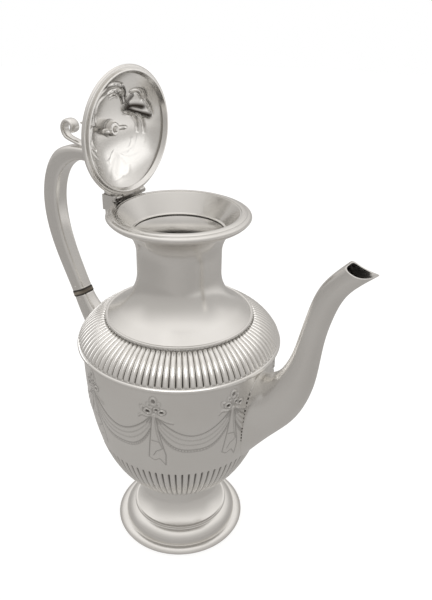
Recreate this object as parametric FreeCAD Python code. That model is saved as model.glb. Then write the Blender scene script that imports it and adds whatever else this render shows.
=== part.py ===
import FreeCAD, Part
import math
import os

V = FreeCAD.Vector

# Driving dimensions in millimetres. The origin is the middle of the foot on the table, +Z is up,
# the spout points to +X, the handle to -X and the hinge pin lies along Y.

# Foot
foot_radius = 42.7
foot_rim_width = 6.6
foot_rim_height = 4.2
foot_rim_round = 1.6
cushion_radius = 37.4
cushion_height = 7.4
cushion_bulge = 1.6
ledge_radius = 31.0
ledge_height = 1.6
ledge_width = 1.2
stem_radius = 18.6
stem_height = 17.8
stem_hollow = 3.0
foot_wall = 1.1
collar_radius = 20.6
collar_height = 2.4
collar_bore = 13.5

# Bowl, from its flat bottom on the collar to its top edge under the girdle
bowl_radius = 58.4
bowl_height = 106.0
bowl_fullness = 2.4
bowl_under = 2.4
bowl_wall = 1.2
strainer_hole_radius = 1.7
strainer_pitch = 5.4
strainer_rows = 3
strainer_drop = 22.0
strainer_squeeze = 0.5
flute_count = 80
flute_radius = 0.75
flute_depth = 0.5
flute_start = 2.6
flute_height = 43.6

# Girdle, lobed shoulder and the ring above it
girdle_proud = 3.0
girdle_height = 4.6
shoulder_step = 1.8
shoulder_height = 14.2
shoulder_bulge = 2.3
shoulder_wall = 1.2
lobe_count = 100
lobe_turn = 0.6
lobe_groove_radius = 0.85
lobe_groove_depth = 0.6
lobe_margin = 1.2
ring_radius = 44.3
ring_height = 1.6

# Plain neck: a cone from the ring, a sweep to the upright neck and a flare to the rim
neck_foot_radius = 42.6
neck_cone_angle = 35.0
neck_sweep = 26.0
neck_radius = 24.5
neck_straight = 12.3
flare_sweep = 20.1
flare_height = 18.0
neck_wall = 1.1

# Rim moulding and the bezel inside the mouth
rim_radius = 40.8
rim_height = 6.1
rim_opening = 34.9
rim_foot_width = 1.0
rim_bead_height = 3.3
rim_flat_width = 4.2
bezel_top_gap = 0.4
bezel_top_width = 0.8
bezel_depth = 12.2
bezel_throat = 25.9
bezel_wall = 0.9
bezel_neck_gap = 0.3

# Lid, drawn closed and then swung open about the hinge pin
lid_gap = 0.4
lid_radius = 35.7
lid_wire_width = 3.0
lid_wire_height = 2.4
lid_dome_inset = 0.9
lid_dome_rise = 13.8
lid_wall = 0.9
lid_flange_radius = 33.4
lid_flange_depth = 1.4
lid_flange_wall = 0.9
lid_open_angle = 90.0

# Finial with its threaded stud, washer and wing nut
finial_seat_radius = 4.6
finial_height = 21.6
finial_knop_radius = 4.8
finial_neck_radius = 1.9
finial_bud_radius = 3.0
finial_stem_rise = 3.2
finial_knop_rise = 4.3
stud_radius = 1.5
stud_depth = 5.5
stud_clearance = 0.05
stud_end = 1.4
washer_radius = 4.4
washer_height = 0.8
nut_radius = 3.1
nut_crown_radius = 2.5
nut_height = 4.2
wing_span = 8.2
wing_height = 5.4
wing_thickness = 1.7
wing_root = 1.95
wing_shoulder = 1.3
wing_heel = 0.4

# Hinge
hinge_offset = 0.25
hinge_rise = 2.25
knuckle_count = 5
knuckle_radius = 1.8
knuckle_length = 5.0
knuckle_gap = 0.15
notch_gap = 0.2
pin_radius = 0.8
pin_clearance = 0.05
pin_head = 0.5
pin_head_radius = 1.2
plate_thickness = 5.0
plate_drop = 9.0
plate_rise = 1.1
plate_bite = 4.0

# Handle: one centre line from the post behind the rim round to the bowl
post_width = 10.5
post_thickness = 6.4
post_drop = 14.0
handle_bend = 18.6
handle_rise = 18.8
handle_turn_out = 88.2
handle_turn_rise = 11.6
handle_reach = 98.6
handle_reach_drop = 15.5
grip_width = 12.0
grip_thickness = 12.0
grip_top_thickness = 8.2
grip_end_out = 22.6
grip_end_rise = 11.2
grip_end_size = 10.8
grip_end_angle = 66.0
grip_wall = 1.2
grip_squareness = 4.0
socket_length = 19.0
socket_root_width = 15.0
socket_root_height = 20.0
socket_root_drop = 20.0
socket_root_inset = 7.0
socket_root_angle = 22.0
insulator_thickness = 3.8
insulator_proud = 0.3
tenon_length = 4.6
tenon_gap = 0.3
pin_rivet_radius = 0.9
pin_rivet_proud = 0.3

# Thumb scroll on top of the handle
scroll_width = 6.0
scroll_thickness = 2.4
scroll_eye_out = 79.5
scroll_eye_rise = 13.2
scroll_start_radius = 6.6
scroll_end_radius = 1.9
scroll_turns = 0.95
scroll_arm = 14.0
scroll_arm_fall = 3.4
scroll_bud_radius = 1.7

# Spout, given by its side outline: each station has the upper edge and the under edge as
# distances out from the bowl's greatest radius and up from the bowl's top edge, and a width.
spout_stations = [
    ((-8.4, -3.2), (-7.9, -64.9), 27.2),
    ((0.1, -2.6), (11.4, -39.4), 26.0),
    ((6.1, -0.6), (23.1, -23.9), 23.0),
    ((11.1, 3.6), (30.2, -6.9), 20.4),
    ((17.8, 14.9), (33.4, 9.6), 16.2),
    ((22.6, 31.4), (35.4, 28.8), 13.1),
    ((26.5, 48.1), (38.7, 44.7), 12.8),
    ((33.1, 65.6), (44.3, 59.2), 12.8),
    ((43.8, 78.3), (52.2, 68.9), 12.8),
    ((52.1, 87.1), (61.1, 77.1), 13.2),
]
spout_wall = 1.0
spout_squareness = 2.0
lip_back_out = 44.0
lip_back_rise = 77.7
lip_tip_out = 59.5
lip_tip_rise = 75.7
lip_dip = 2.2

# The girdle and the shoulder both stand out from the bowl's side
girdle_radius = bowl_radius + girdle_proud
shoulder_radius = bowl_radius + shoulder_step

# Levels that follow from the heights above
foot_rim_top = foot_rim_height
cushion_top = foot_rim_top + cushion_height
ledge_top = cushion_top + ledge_height
foot_top = ledge_top + stem_height
bowl_bottom = foot_top + collar_height
bowl_top = bowl_bottom + bowl_height
girdle_top = bowl_top + girdle_height
shoulder_top = girdle_top + shoulder_height
ring_top = shoulder_top + ring_height
cone_rise = math.tan(math.radians(neck_cone_angle))
sweep_reach = neck_sweep * math.tan(math.radians(90.0 - neck_cone_angle) / 2.0)
neck_corner = ring_top + (neck_foot_radius - neck_radius) * cone_rise
neck_sweep_top = neck_corner + sweep_reach
flare_bottom = neck_sweep_top + neck_straight
neck_top = flare_bottom + flare_height
rim_top = neck_top + rim_height
lid_edge = rim_top + lid_gap
lid_wire_top = lid_edge + lid_wire_height
hinge_x = -(lid_radius + hinge_offset)
hinge_z = rim_top + hinge_rise
plate_back = -(rim_radius + plate_thickness)
post_x = plate_back - post_thickness / 2.0

ORIGIN = V(0, 0, 0)
UP = V(0, 0, 1)
ALONG_PIN = V(0, 1, 0)


def at(radius, height):
    return V(radius, 0, height)


def line(start, end):
    return Part.LineSegment(start, end).toShape()


def outline(*points):
    ends = points[1:] + points[:1]
    return [line(start, end) for start, end in zip(points, ends)]


def bulged(start, end, bulge):
    """Arc from start to end whose middle stands bulge to the left of the chord, seen from -Y."""
    chord = end - start
    left = V(-chord.z, 0, chord.x).normalize()
    middle = (start + end) * 0.5 + left * bulge
    return Part.Arc(start, middle, end).toShape()


def turned(edges):
    face = Part.Face(Part.Wire(Part.__sortEdges__(edges)))
    return face.revolve(ORIGIN, UP, 360)


def shell_edges(outer, inner):
    """Outline of a thin wall between two runs of edges, closed by a flat land at each end."""
    low = line(outer[0].firstVertex().Point, inner[0].firstVertex().Point)
    high = line(outer[-1].lastVertex().Point, inner[-1].lastVertex().Point)
    return outer + inner + [low, high]


def turned_shell(outer, inner):
    return turned(shell_edges(outer, inner))


def groove_bar(spine, radius):
    """Round bar along a spine, to cut a groove with."""
    start = spine.firstVertex().Point
    ring = Part.Wire(Part.makeCircle(radius, start, spine.tangentAt(spine.FirstParameter)))
    return Part.Wire(spine).makePipeShell([ring], True, False)


def turned_with_grooves(edges, count, bar):
    """Turned wall with equal grooves: a bar cuts one sector, whose skin repeats round the axis."""
    pitch = 360.0 / count
    sector = Part.Face(Part.Wire(Part.__sortEdges__(edges))).revolve(ORIGIN, UP, pitch)
    bar.rotate(ORIGIN, UP, pitch / 2.0)
    skin = []
    for face in sector.cut(bar).Faces:
        middle = face.CenterOfMass
        from_middle = math.degrees(math.atan2(middle.y, middle.x)) - pitch / 2.0
        if abs(from_middle) < pitch / 4.0:
            skin.append(face)
    faces = []
    for place in range(count):
        for face in skin:
            copy = face.copy()
            copy.rotate(ORIGIN, UP, place * pitch)
            faces.append(copy)
    sheet = Part.Compound(faces)
    sheet.sewShape()
    return Part.Solid(Part.Shell(sheet.Faces))


def box(low, high):
    size = high - low
    return Part.makeBox(size.x, size.y, size.z, low)


def rod(radius, start, end):
    axis = end - start
    return Part.makeCylinder(radius, axis.Length, start, axis)


# Foot

def foot_rim_wire():
    inner = foot_radius - foot_rim_width
    low = at(foot_radius - foot_rim_round / 2.0, 0)
    side = at(foot_radius, foot_rim_round)
    shelf = at(cushion_radius + foot_rim_round / 2.0, foot_rim_top)
    edges = [
        line(at(inner, 0), low),
        line(low, side),
        bulged(side, shelf, -foot_rim_round / 2.0),
        line(shelf, at(inner, foot_rim_top)),
        line(at(inner, foot_rim_top), at(inner, 0)),
    ]
    return turned(edges)


def foot_side(inset):
    low = at(cushion_radius - inset, foot_rim_top)
    step = at(ledge_radius - inset, cushion_top - inset)
    edge = at(ledge_radius - inset, ledge_top - inset)
    root = at(ledge_radius - ledge_width - inset, ledge_top - inset)
    top = at(stem_radius - inset, foot_top)
    return [
        bulged(low, step, -cushion_bulge),
        line(step, edge),
        line(edge, root),
        bulged(root, top, stem_hollow),
    ]


def foot():
    return turned_shell(foot_side(0.0), foot_side(foot_wall))


def foot_collar():
    edges = [
        line(at(collar_bore, foot_top), at(stem_radius, foot_top)),
        bulged(at(stem_radius, foot_top), at(stem_radius, bowl_bottom), stem_radius - collar_radius),
        line(at(stem_radius, bowl_bottom), at(collar_bore, bowl_bottom)),
        line(at(collar_bore, bowl_bottom), at(collar_bore, foot_top)),
    ]
    return turned(edges)


# Bowl

def bowl_curve(inset, low, high):
    """Side of the bowl as a superellipse between two levels; it stands upright at the bowl's top edge."""
    radius = bowl_radius - inset
    depth = bowl_height + bowl_under - inset
    power = 2.0 / bowl_fullness
    first, last = [math.acos(((bowl_top - level) / depth) ** (1.0 / power)) for level in (low, high)]
    steps = 14
    points = []
    for step in range(steps + 1):
        angle = first + (last - first) * step / steps
        drop = depth * max(math.cos(angle), 0.0) ** power
        points.append(at(radius * math.sin(angle) ** power, bowl_top - drop))
    curve = Part.BSplineCurve()
    curve.interpolate(Points=points)
    return curve.toShape()


def bowl_filled():
    side = bowl_curve(0.0, bowl_bottom, bowl_top)
    start = side.firstVertex().Point
    end = side.lastVertex().Point
    edges = [
        line(at(0, bowl_bottom), start),
        side,
        line(end, at(0, bowl_top)),
        line(at(0, bowl_top), at(0, bowl_bottom)),
    ]
    return turned(edges)


def strainer_holes():
    """Pierced holes through the wall behind the spout, in rings about one middle hole."""
    middle = bowl_top - strainer_drop
    holes = []
    for row in range(strainer_rows):
        count = max(1, 6 * row)
        for place in range(count):
            angle = 2.0 * math.pi * place / count
            y = row * strainer_pitch * strainer_squeeze * math.cos(angle)
            z = middle + row * strainer_pitch * math.sin(angle)
            holes.append(rod(strainer_hole_radius, V(bowl_radius / 2.0, y, z), V(bowl_radius + bowl_wall, y, z)))
    return Part.Compound(holes)


def bowl():
    floor = bowl_bottom + bowl_wall
    outer = bowl_curve(0.0, bowl_bottom, bowl_top)
    inner = bowl_curve(bowl_wall, floor, bowl_top)
    flute = bowl_curve(flute_depth - flute_radius, bowl_bottom + flute_start, bowl_bottom + flute_height)
    edges = [
        line(at(0, bowl_bottom), outer.firstVertex().Point),
        outer,
        line(outer.lastVertex().Point, inner.lastVertex().Point),
        inner,
        line(inner.firstVertex().Point, at(0, floor)),
        line(at(0, floor), at(0, bowl_bottom)),
    ]
    wall = turned_with_grooves(edges, flute_count, groove_bar(flute, flute_radius))
    return wall.cut(strainer_holes())


# Girdle, shoulder and ring

def girdle_moulding():
    inner = min(bowl_radius - bowl_wall, shoulder_radius - shoulder_wall)
    low = at(bowl_radius, bowl_top)
    high = at(shoulder_radius, girdle_top)
    widest = at(girdle_radius, (bowl_top + girdle_top) / 2.0)
    edges = [
        line(at(inner, bowl_top), low),
        Part.Arc(low, widest, high).toShape(),
        line(high, at(inner, girdle_top)),
        line(at(inner, girdle_top), at(inner, bowl_top)),
    ]
    return turned(edges)


def cone_land():
    """Width of a flat cut across the neck's sloping wall."""
    return neck_wall / math.sin(math.radians(neck_cone_angle))


def lobe_groove(side):
    """Bar along a groove between two lobes, short of both ends of the shoulder's side."""
    lift = lobe_groove_radius - lobe_groove_depth
    points = []
    for length in (lobe_margin, side.Length / 2.0, side.Length - lobe_margin):
        point = side.valueAt(side.getParameterByLength(length))
        points.append(point + (point - side.Curve.Center).normalize() * lift)
    return groove_bar(Part.Arc(*points).toShape(), lobe_groove_radius)


def shoulder():
    land = shoulder_wall / math.sin(math.radians(neck_cone_angle))
    top_radius = neck_foot_radius + ring_height / 2.0
    outer = bulged(at(shoulder_radius, girdle_top), at(top_radius, shoulder_top), -shoulder_bulge)
    inner = bulged(at(shoulder_radius - shoulder_wall, girdle_top), at(top_radius - land, shoulder_top),
                   -shoulder_bulge)
    wall = turned_with_grooves(shell_edges([outer], [inner]), lobe_count, lobe_groove(outer))
    wall.rotate(ORIGIN, UP, lobe_turn)
    return wall


def shoulder_ring():
    inner = neck_foot_radius - cone_land()
    low = at(neck_foot_radius + ring_height / 2.0, shoulder_top)
    high = at(neck_foot_radius, ring_top)
    edges = [
        line(at(inner, shoulder_top), low),
        Part.Arc(low, at(ring_radius, shoulder_top + ring_height / 2.0), high).toShape(),
        line(high, at(inner, ring_top)),
        line(at(inner, ring_top), at(inner, shoulder_top)),
    ]
    return turned(edges)


# Neck, rim and bezel

def around(centre, radius, degrees):
    angle = math.radians(degrees)
    return centre + V(radius * math.cos(angle), 0, radius * math.sin(angle))


def flare_centre():
    return at(neck_radius + flare_sweep, flare_bottom)


def flare_radius_at(height, inset):
    """Radius of the flare's outside, or of its inside when inset is the wall, at a height."""
    sweep = flare_sweep + inset
    rise = height - flare_bottom
    return flare_centre().x - math.sqrt(sweep * sweep - rise * rise)


def neck_side(inset):
    foot_point = at(neck_foot_radius - inset / math.sin(math.radians(neck_cone_angle)), ring_top)
    sweep_centre = at(neck_radius + neck_sweep, neck_sweep_top)
    sweep = neck_sweep + inset
    cone_side = 270.0 - neck_cone_angle
    sweep_low = around(sweep_centre, sweep, cone_side)
    sweep_middle = around(sweep_centre, sweep, (cone_side + 180.0) / 2.0)
    sweep_high = around(sweep_centre, sweep, 180.0)
    flare_low = at(neck_radius - inset, flare_bottom)
    flare_high = at(flare_radius_at(neck_top, inset), neck_top)
    half = flare_bottom + flare_height / 2.0
    flare_middle = at(flare_radius_at(half, inset), half)
    return [
        line(foot_point, sweep_low),
        Part.Arc(sweep_low, sweep_middle, sweep_high).toShape(),
        line(sweep_high, flare_low),
        Part.Arc(flare_low, flare_middle, flare_high).toShape(),
    ]


def neck():
    return turned_shell(neck_side(0.0), neck_side(neck_wall))


def rim_moulding():
    seat = at(flare_radius_at(neck_top, 0.0) + rim_foot_width, neck_top)
    widest = at(rim_radius, neck_top + rim_bead_height)
    shelf = at(rim_opening + rim_flat_width, rim_top - rim_foot_width)
    inner_top = at(rim_opening, rim_top)
    inner_low = at(rim_opening, neck_top)
    edges = [
        line(inner_low, seat),
        bulged(seat, widest, -rim_foot_width / 2.0),
        bulged(widest, shelf, -rim_foot_width / 2.0),
        bulged(shelf, inner_top, -rim_foot_width / 4.0),
        line(inner_top, inner_low),
    ]
    return turned(edges)


def along_flare(inset, low, high):
    """Arc inside the flare, moved in from its outside, between two levels."""
    middle = (low + high) / 2.0
    points = [at(flare_radius_at(level, inset), level) for level in (low, middle, high)]
    return Part.Arc(*points).toShape()


def mouth_bezel():
    """Ring inside the mouth: it follows the flare down to its throat and stands against the rim above."""
    top = rim_top - bezel_top_gap
    throat_top = rim_top - bezel_depth + bezel_wall
    throat_low = rim_top - bezel_depth - bezel_wall / 2.0
    outer = along_flare(neck_wall + bezel_neck_gap, throat_low, neck_top)
    inner = along_flare(neck_wall + bezel_neck_gap + bezel_wall, throat_top, neck_top)
    corners = [
        outer.lastVertex().Point,
        at(rim_opening, neck_top + bezel_wall),
        at(rim_opening, top),
        at(rim_opening - bezel_top_width, top),
        inner.lastVertex().Point,
    ]
    throat = [
        inner.firstVertex().Point,
        at(bezel_throat, throat_top - bezel_wall / 2.0),
        at(bezel_throat, throat_low),
        outer.firstVertex().Point,
    ]
    sides = zip(corners[:-1] + throat[:-1], corners[1:] + throat[1:])
    return turned([outer, inner] + [line(start, end) for start, end in sides])


# Lid, closed

def opened(shape):
    shape.rotate(V(hinge_x, 0, hinge_z), ALONG_PIN, -lid_open_angle)
    return shape


def ellipse_height(radius, rise, across):
    return rise * math.sqrt(1.0 - (across / radius) ** 2)


def dome_side(inset, flat):
    """Quarter ellipse of the dome from its edge up to the flat seat at its middle."""
    radius = lid_radius - lid_dome_inset - inset
    rise = lid_dome_rise - inset
    centre = at(0, lid_wire_top)
    ellipse = Part.Ellipse(at(radius, lid_wire_top), at(0, lid_wire_top + rise), centre)
    last = ellipse.parameter(at(flat, lid_wire_top + ellipse_height(radius, rise, flat)))
    return Part.ArcOfEllipse(ellipse, 0.0, last).toShape()


def finial_seat():
    radius = lid_radius - lid_dome_inset
    return lid_wire_top + ellipse_height(radius, lid_dome_rise, finial_seat_radius)


def washer_seat():
    radius = lid_radius - lid_dome_inset - lid_wall
    return lid_wire_top + ellipse_height(radius, lid_dome_rise - lid_wall, washer_radius)


def lid_dome():
    outer = dome_side(0.0, finial_seat_radius)
    inner = dome_side(lid_wall, washer_radius)
    hole = stud_radius + stud_clearance
    edges = [
        outer,
        line(outer.lastVertex().Point, at(hole, finial_seat())),
        line(at(hole, finial_seat()), at(hole, washer_seat())),
        line(at(hole, washer_seat()), inner.lastVertex().Point),
        inner,
        line(inner.firstVertex().Point, outer.firstVertex().Point),
    ]
    return turned(edges).cut(hinge_notch())


def lid_rim_wire():
    """Wire round the lid's edge, notched where the hinge barrel turns."""
    inner = lid_radius - lid_wire_width
    middle = (lid_edge + lid_wire_top) / 2.0
    dome_edge = lid_radius - lid_dome_inset
    edges = [
        line(at(inner, lid_edge), at(dome_edge, lid_edge)),
        Part.Arc(at(dome_edge, lid_edge), at(lid_radius, middle), at(dome_edge, lid_wire_top)).toShape(),
        line(at(dome_edge, lid_wire_top), at(inner, lid_wire_top)),
        line(at(inner, lid_wire_top), at(inner, lid_edge)),
    ]
    return turned(edges).cut(hinge_notch())


def lid_flange():
    outer = lid_radius - lid_wire_width
    shelf = lid_edge + lid_flange_wall
    edges = outline(
        at(outer, shelf),
        at(outer, lid_edge),
        at(lid_flange_radius, lid_edge),
        at(lid_flange_radius, lid_edge - lid_flange_depth),
        at(lid_flange_radius - lid_flange_wall, lid_edge - lid_flange_depth),
        at(lid_flange_radius - lid_flange_wall, shelf),
    )
    return turned(edges)


# Finial and its fastening

def stud():
    nut_low = washer_seat() - washer_height - nut_height
    return rod(stud_radius, at(0, nut_low - stud_end), at(0, finial_seat() + stud_depth))


def finial():
    seat = finial_seat()
    stem = seat + finial_stem_rise
    knop = stem + finial_knop_rise
    waist = knop + finial_knop_rise
    bud = waist + finial_bud_radius
    tip = seat + finial_height
    points = [
        at(finial_neck_radius, stem),
        at(finial_knop_radius, knop),
        at(finial_neck_radius, waist),
        at(finial_bud_radius, bud),
        at(finial_bud_radius / 2.0, (bud + tip) / 2.0),
        at(0, tip),
    ]
    curve = Part.BSplineCurve()
    curve.interpolate(Points=points, InitialTangent=V(0, 0, 1), FinalTangent=V(-1, 0, 0))
    edges = [
        line(at(0, seat), at(finial_seat_radius, seat)),
        line(at(finial_seat_radius, seat), at(finial_seat_radius, seat + washer_height)),
        bulged(at(finial_seat_radius, seat + washer_height), points[0], washer_height),
        curve.toShape(),
        line(at(0, tip), at(0, seat)),
    ]
    return turned(edges).cut(stud())


def finial_washer():
    top = washer_seat()
    disc = rod(washer_radius, at(0, top - washer_height), at(0, top))
    return disc.cut(stud())


def wing_nut():
    top = washer_seat() - washer_height
    low = top - nut_height
    hub = Part.makeCone(nut_crown_radius, nut_radius, nut_height, at(0, low))
    half = wing_thickness / 2.0
    for side in (1, -1):
        root = V(0, side * wing_root, 0)
        tip = V(0, side * wing_span, 0)
        corners = [
            root + at(-half, top - wing_shoulder),
            tip + at(-half, low + wing_shoulder),
            tip + at(-half, top - wing_height),
            root + at(-half, low + wing_heel),
        ]
        crest = (corners[1] + corners[2]) * 0.5 + V(0, side * half, 0)
        edges = [
            line(corners[0], corners[1]),
            Part.Arc(corners[1], crest, corners[2]).toShape(),
            line(corners[2], corners[3]),
            line(corners[3], corners[0]),
        ]
        wing = Part.Face(Part.Wire(edges)).extrude(V(wing_thickness, 0, 0))
        hub = hub.fuse(wing)
    return hub.removeSplitter().cut(stud())


# Hinge

def knuckle_spans():
    """Start and end along Y of each knuckle, every second one from the outside on the pot."""
    spans = []
    for place in range(knuckle_count):
        start = (place - knuckle_count / 2.0) * knuckle_length
        spans.append((start + knuckle_gap / 2.0, start + knuckle_length - knuckle_gap / 2.0))
    return spans


def barrel_half():
    return (knuckle_count * knuckle_length - knuckle_gap) / 2.0


def on_pin(y):
    return V(hinge_x, y, hinge_z)


def pin_bore(radius):
    reach = knuckle_count * knuckle_length
    return rod(radius, on_pin(-reach), on_pin(reach))


def hinge_notch():
    reach = barrel_half() + pin_head + notch_gap
    return rod(knuckle_radius + notch_gap, on_pin(-reach), on_pin(reach))


def hinge_pin():
    reach = barrel_half()
    shaft = rod(pin_radius, on_pin(-reach), on_pin(reach))
    for side in (1, -1):
        start = on_pin(side * reach)
        head = rod(pin_head_radius, start, start + V(0, side * pin_head, 0))
        shaft = shaft.fuse(head)
    return shaft.removeSplitter()


def rim_filled():
    """Rim and flare without a mouth, to fit the hinge plate against."""
    core = [
        line(at(0, flare_bottom), at(neck_radius, flare_bottom)),
        neck_side(0.0)[-1],
        line(at(flare_radius_at(neck_top, 0.0), neck_top), at(0, neck_top)),
        line(at(0, neck_top), at(0, flare_bottom)),
    ]
    plug = rod(rim_opening, at(0, neck_top), at(0, rim_top))
    return rim_moulding().fuse(plug).fuse(turned(core))


def hinge_body_leaf():
    """Plate soldered to the rim, with a foot that bites under its edge and the pot's knuckles on top."""
    half = barrel_half()
    top = hinge_z + plate_rise
    foot_low = top - plate_drop
    foot_top_level = hinge_z - knuckle_radius - 2.0 * lid_gap
    front = hinge_x - knuckle_radius - lid_gap
    bite = plate_bite - rim_radius
    leaf = box(V(plate_back, -half, foot_low), V(front, half, top))
    leaf = leaf.fuse(box(V(plate_back, -half, foot_low), V(bite, half, foot_top_level)))
    for start, end in knuckle_spans()[0::2]:
        barrel = rod(knuckle_radius, on_pin(start), on_pin(end))
        web = box(V(front, start, hinge_z - plate_rise), V(hinge_x, end, hinge_z + plate_rise))
        leaf = leaf.fuse(barrel).fuse(web)
    leaf = leaf.removeSplitter().cut(rim_filled()).cut(handle_run(0.0, upper_cut, 0.0, 5))
    return leaf.cut(pin_bore(pin_radius))


def lid_knuckles():
    """Two knuckles with webs that run into the lid's rim wire, drawn closed."""
    leaf = None
    reach = hinge_x + knuckle_radius + notch_gap + lid_wire_width / 2.0
    for start, end in knuckle_spans()[1::2]:
        barrel = rod(knuckle_radius, on_pin(start), on_pin(end))
        web = box(V(hinge_x, start, lid_edge), V(reach, end, lid_wire_top))
        piece = barrel.fuse(web)
        leaf = piece if leaf is None else leaf.fuse(piece)
    filled = rod(lid_radius - lid_wire_width, at(0, lid_edge), at(0, lid_wire_top)).fuse(lid_rim_wire())
    return leaf.removeSplitter().cut(filled).cut(pin_bore(pin_radius + pin_clearance))


# Handle

def handle_line():
    """Centre line of the whole handle, and its parameter at each of the points it goes through."""
    low_angle = math.radians(grip_end_angle)
    root_angle = math.radians(socket_root_angle)
    points = [
        at(post_x, hinge_z - post_drop),
        at(post_x, hinge_z),
        at(post_x - handle_bend, hinge_z + handle_rise),
        at(-handle_turn_out, hinge_z + handle_turn_rise),
        at(-handle_reach, rim_top - handle_reach_drop),
        at(-(bowl_radius + grip_end_out), bowl_top + grip_end_rise),
        at(-(bowl_radius - socket_root_inset), bowl_top - socket_root_drop),
    ]
    tangents = [
        UP,
        UP,
        V(-1, 0, 0),
        V(-1, 0, -1).normalize(),
        V(0, 0, -1),
        at(math.cos(low_angle), -math.sin(low_angle)),
        at(math.cos(root_angle), -math.sin(root_angle)),
    ]
    marks = [0.0]
    for start, end in zip(points, points[1:]):
        marks.append(marks[-1] + (end - start).Length)
    curve = Part.BSplineCurve()
    curve.interpolate(Points=points, Parameters=marks, Tangents=tangents,
                      TangentFlags=[True] * len(points))
    return curve, marks


handle_curve, handle_marks = handle_line()


def handle_size(mark):
    """Width and thickness of the handle at a mark along its centre line."""
    sizes = [
        (post_width, post_thickness),
        (post_width, post_thickness),
        ((post_width + grip_width) / 2.0, grip_top_thickness),
        (grip_width, grip_thickness),
        (grip_width, grip_thickness),
        (grip_end_size, grip_end_size),
        (socket_root_width, socket_root_height),
    ]
    for place in range(len(sizes) - 1):
        first, last = handle_marks[place], handle_marks[place + 1]
        if mark <= last or place == len(sizes) - 2:
            share = (mark - first) / (last - first)
            ease = share * share * (3.0 - 2.0 * share)
            return tuple(a + (b - a) * ease for a, b in zip(sizes[place], sizes[place + 1]))


def quarter(centre, first, last, squareness):
    """Quarter of a superellipse from centre + first to centre + last."""
    power = 2.0 / squareness
    points = []
    for step in range(5):
        angle = math.pi * step / 8.0
        points.append(centre + first * max(math.cos(angle), 0.0) ** power + last * math.sin(angle) ** power)
    points[-1] = centre + last
    curve = Part.BSplineCurve()
    curve.interpolate(Points=points, InitialTangent=last, FinalTangent=first * -1)
    return curve.toShape()


def section(centre, across, half_thickness, half_width, squareness):
    """Closed outline about a centre: half_thickness along across, half_width along Y."""
    out = across * half_thickness
    wide = ALONG_PIN * half_width
    corners = [out, wide, out * -1, wide * -1]
    turns = zip(corners, corners[1:] + corners[:1])
    return Part.Wire([quarter(centre, first, last, squareness) for first, last in turns])


def handle_run(first, last, inset, count):
    """Solid along the centre line between two marks, inset from the handle's own size."""
    wires = []
    for step in range(count + 1):
        mark = first + (last - first) * step / count
        width, thickness = handle_size(mark)
        along = handle_curve.tangent(mark)[0]
        across = V(-along.z, 0, along.x)
        wires.append(section(handle_curve.value(mark), across, thickness / 2.0 - inset, width / 2.0 - inset,
                             grip_squareness))
    return Part.makeLoft(wires, True)


upper_cut = socket_length
upper_joint = upper_cut + insulator_thickness
lower_cut = handle_marks[-2]
lower_joint = lower_cut + insulator_thickness


def rivet(mark):
    """Pin along Y through the handle at a mark, a little proud on both sides."""
    centre = handle_curve.value(mark)
    reach = handle_size(mark)[0] / 2.0 + pin_rivet_proud
    return rod(pin_rivet_radius, centre - ALONG_PIN * reach, centre + ALONG_PIN * reach)


def rivets():
    half = tenon_length / 2.0
    marks = (upper_cut - half, upper_joint + half, lower_cut - half, lower_joint + half)
    return [rivet(mark) for mark in marks]


def upper_socket():
    outer = handle_run(0.0, upper_cut, 0.0, 5)
    hollow = handle_run(upper_cut - tenon_length - tenon_gap, upper_cut, grip_wall, 3)
    return outer.cut(hollow).cut(Part.Compound(rivets()))


def handle_grip():
    outer = handle_run(upper_joint, lower_cut, 0.0, 14)
    hollow = handle_run(upper_joint, lower_cut, grip_wall, 14)
    return outer.cut(hollow).cut(Part.Compound(rivets()))


def lower_socket():
    outer = handle_run(lower_joint, handle_marks[-1], 0.0, 6)
    hollow = handle_run(lower_joint, lower_joint + tenon_length + tenon_gap, grip_wall, 3)
    return outer.cut(hollow).cut(bowl_filled()).cut(Part.Compound(rivets()))


def insulator(first, last):
    disc = handle_run(first, last, -insulator_proud, 2)
    inset = grip_wall + tenon_gap
    tenon = handle_run(first - tenon_length, last + tenon_length, inset, 6)
    return disc.fuse(tenon).removeSplitter().cut(Part.Compound(rivets()))


# Thumb scroll

def scroll_line():
    """Spiral of the scroll from its arm along the handle's top round to its eye."""
    eye = at(-scroll_eye_out, hinge_z + handle_rise + scroll_eye_rise)
    points = []
    steps = 12
    for step in range(steps + 1):
        share = step / steps
        radius = scroll_start_radius + (scroll_end_radius - scroll_start_radius) * share
        points.append(around(eye, radius, 270.0 - 360.0 * scroll_turns * share))
    start = points[0]
    arm = [at(start.x + scroll_arm, start.z - scroll_arm_fall),
           at(start.x + scroll_arm / 2.0, start.z - scroll_arm_fall / 2.0)]
    return arm + points


def thumb_scroll():
    curve = Part.BSplineCurve()
    curve.interpolate(Points=scroll_line())
    half = scroll_thickness / 2.0
    left, right = [], []
    steps = 30
    for step in range(steps + 1):
        mark = curve.FirstParameter + (curve.LastParameter - curve.FirstParameter) * step / steps
        centre = curve.value(mark)
        along = curve.tangent(mark)[0]
        across = V(-along.z, 0, along.x)
        left.append(centre + across * half)
        right.append(centre - across * half)
    sides = []
    for points in (left, right):
        side = Part.BSplineCurve()
        side.interpolate(Points=points)
        sides.append(side.toShape())
    edges = sides + [line(left[0], right[0]), line(left[-1], right[-1])]
    face = Part.Face(Part.Wire(Part.__sortEdges__(edges)))
    face.translate(V(0, -scroll_width / 2.0, 0))
    strip = face.extrude(V(0, scroll_width, 0))
    end = curve.value(curve.LastParameter)
    eye = rod(scroll_bud_radius, end - ALONG_PIN * (scroll_width / 2.0 + half / 2.0),
              end + ALONG_PIN * (scroll_width / 2.0 + half / 2.0))
    strip = strip.fuse(eye)
    return strip.removeSplitter().cut(handle_run(upper_joint, lower_cut, 0.0, 14))


# Spout

def spout_point(pair):
    out, rise = pair
    return at(bowl_radius + out, bowl_top + rise)


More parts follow.
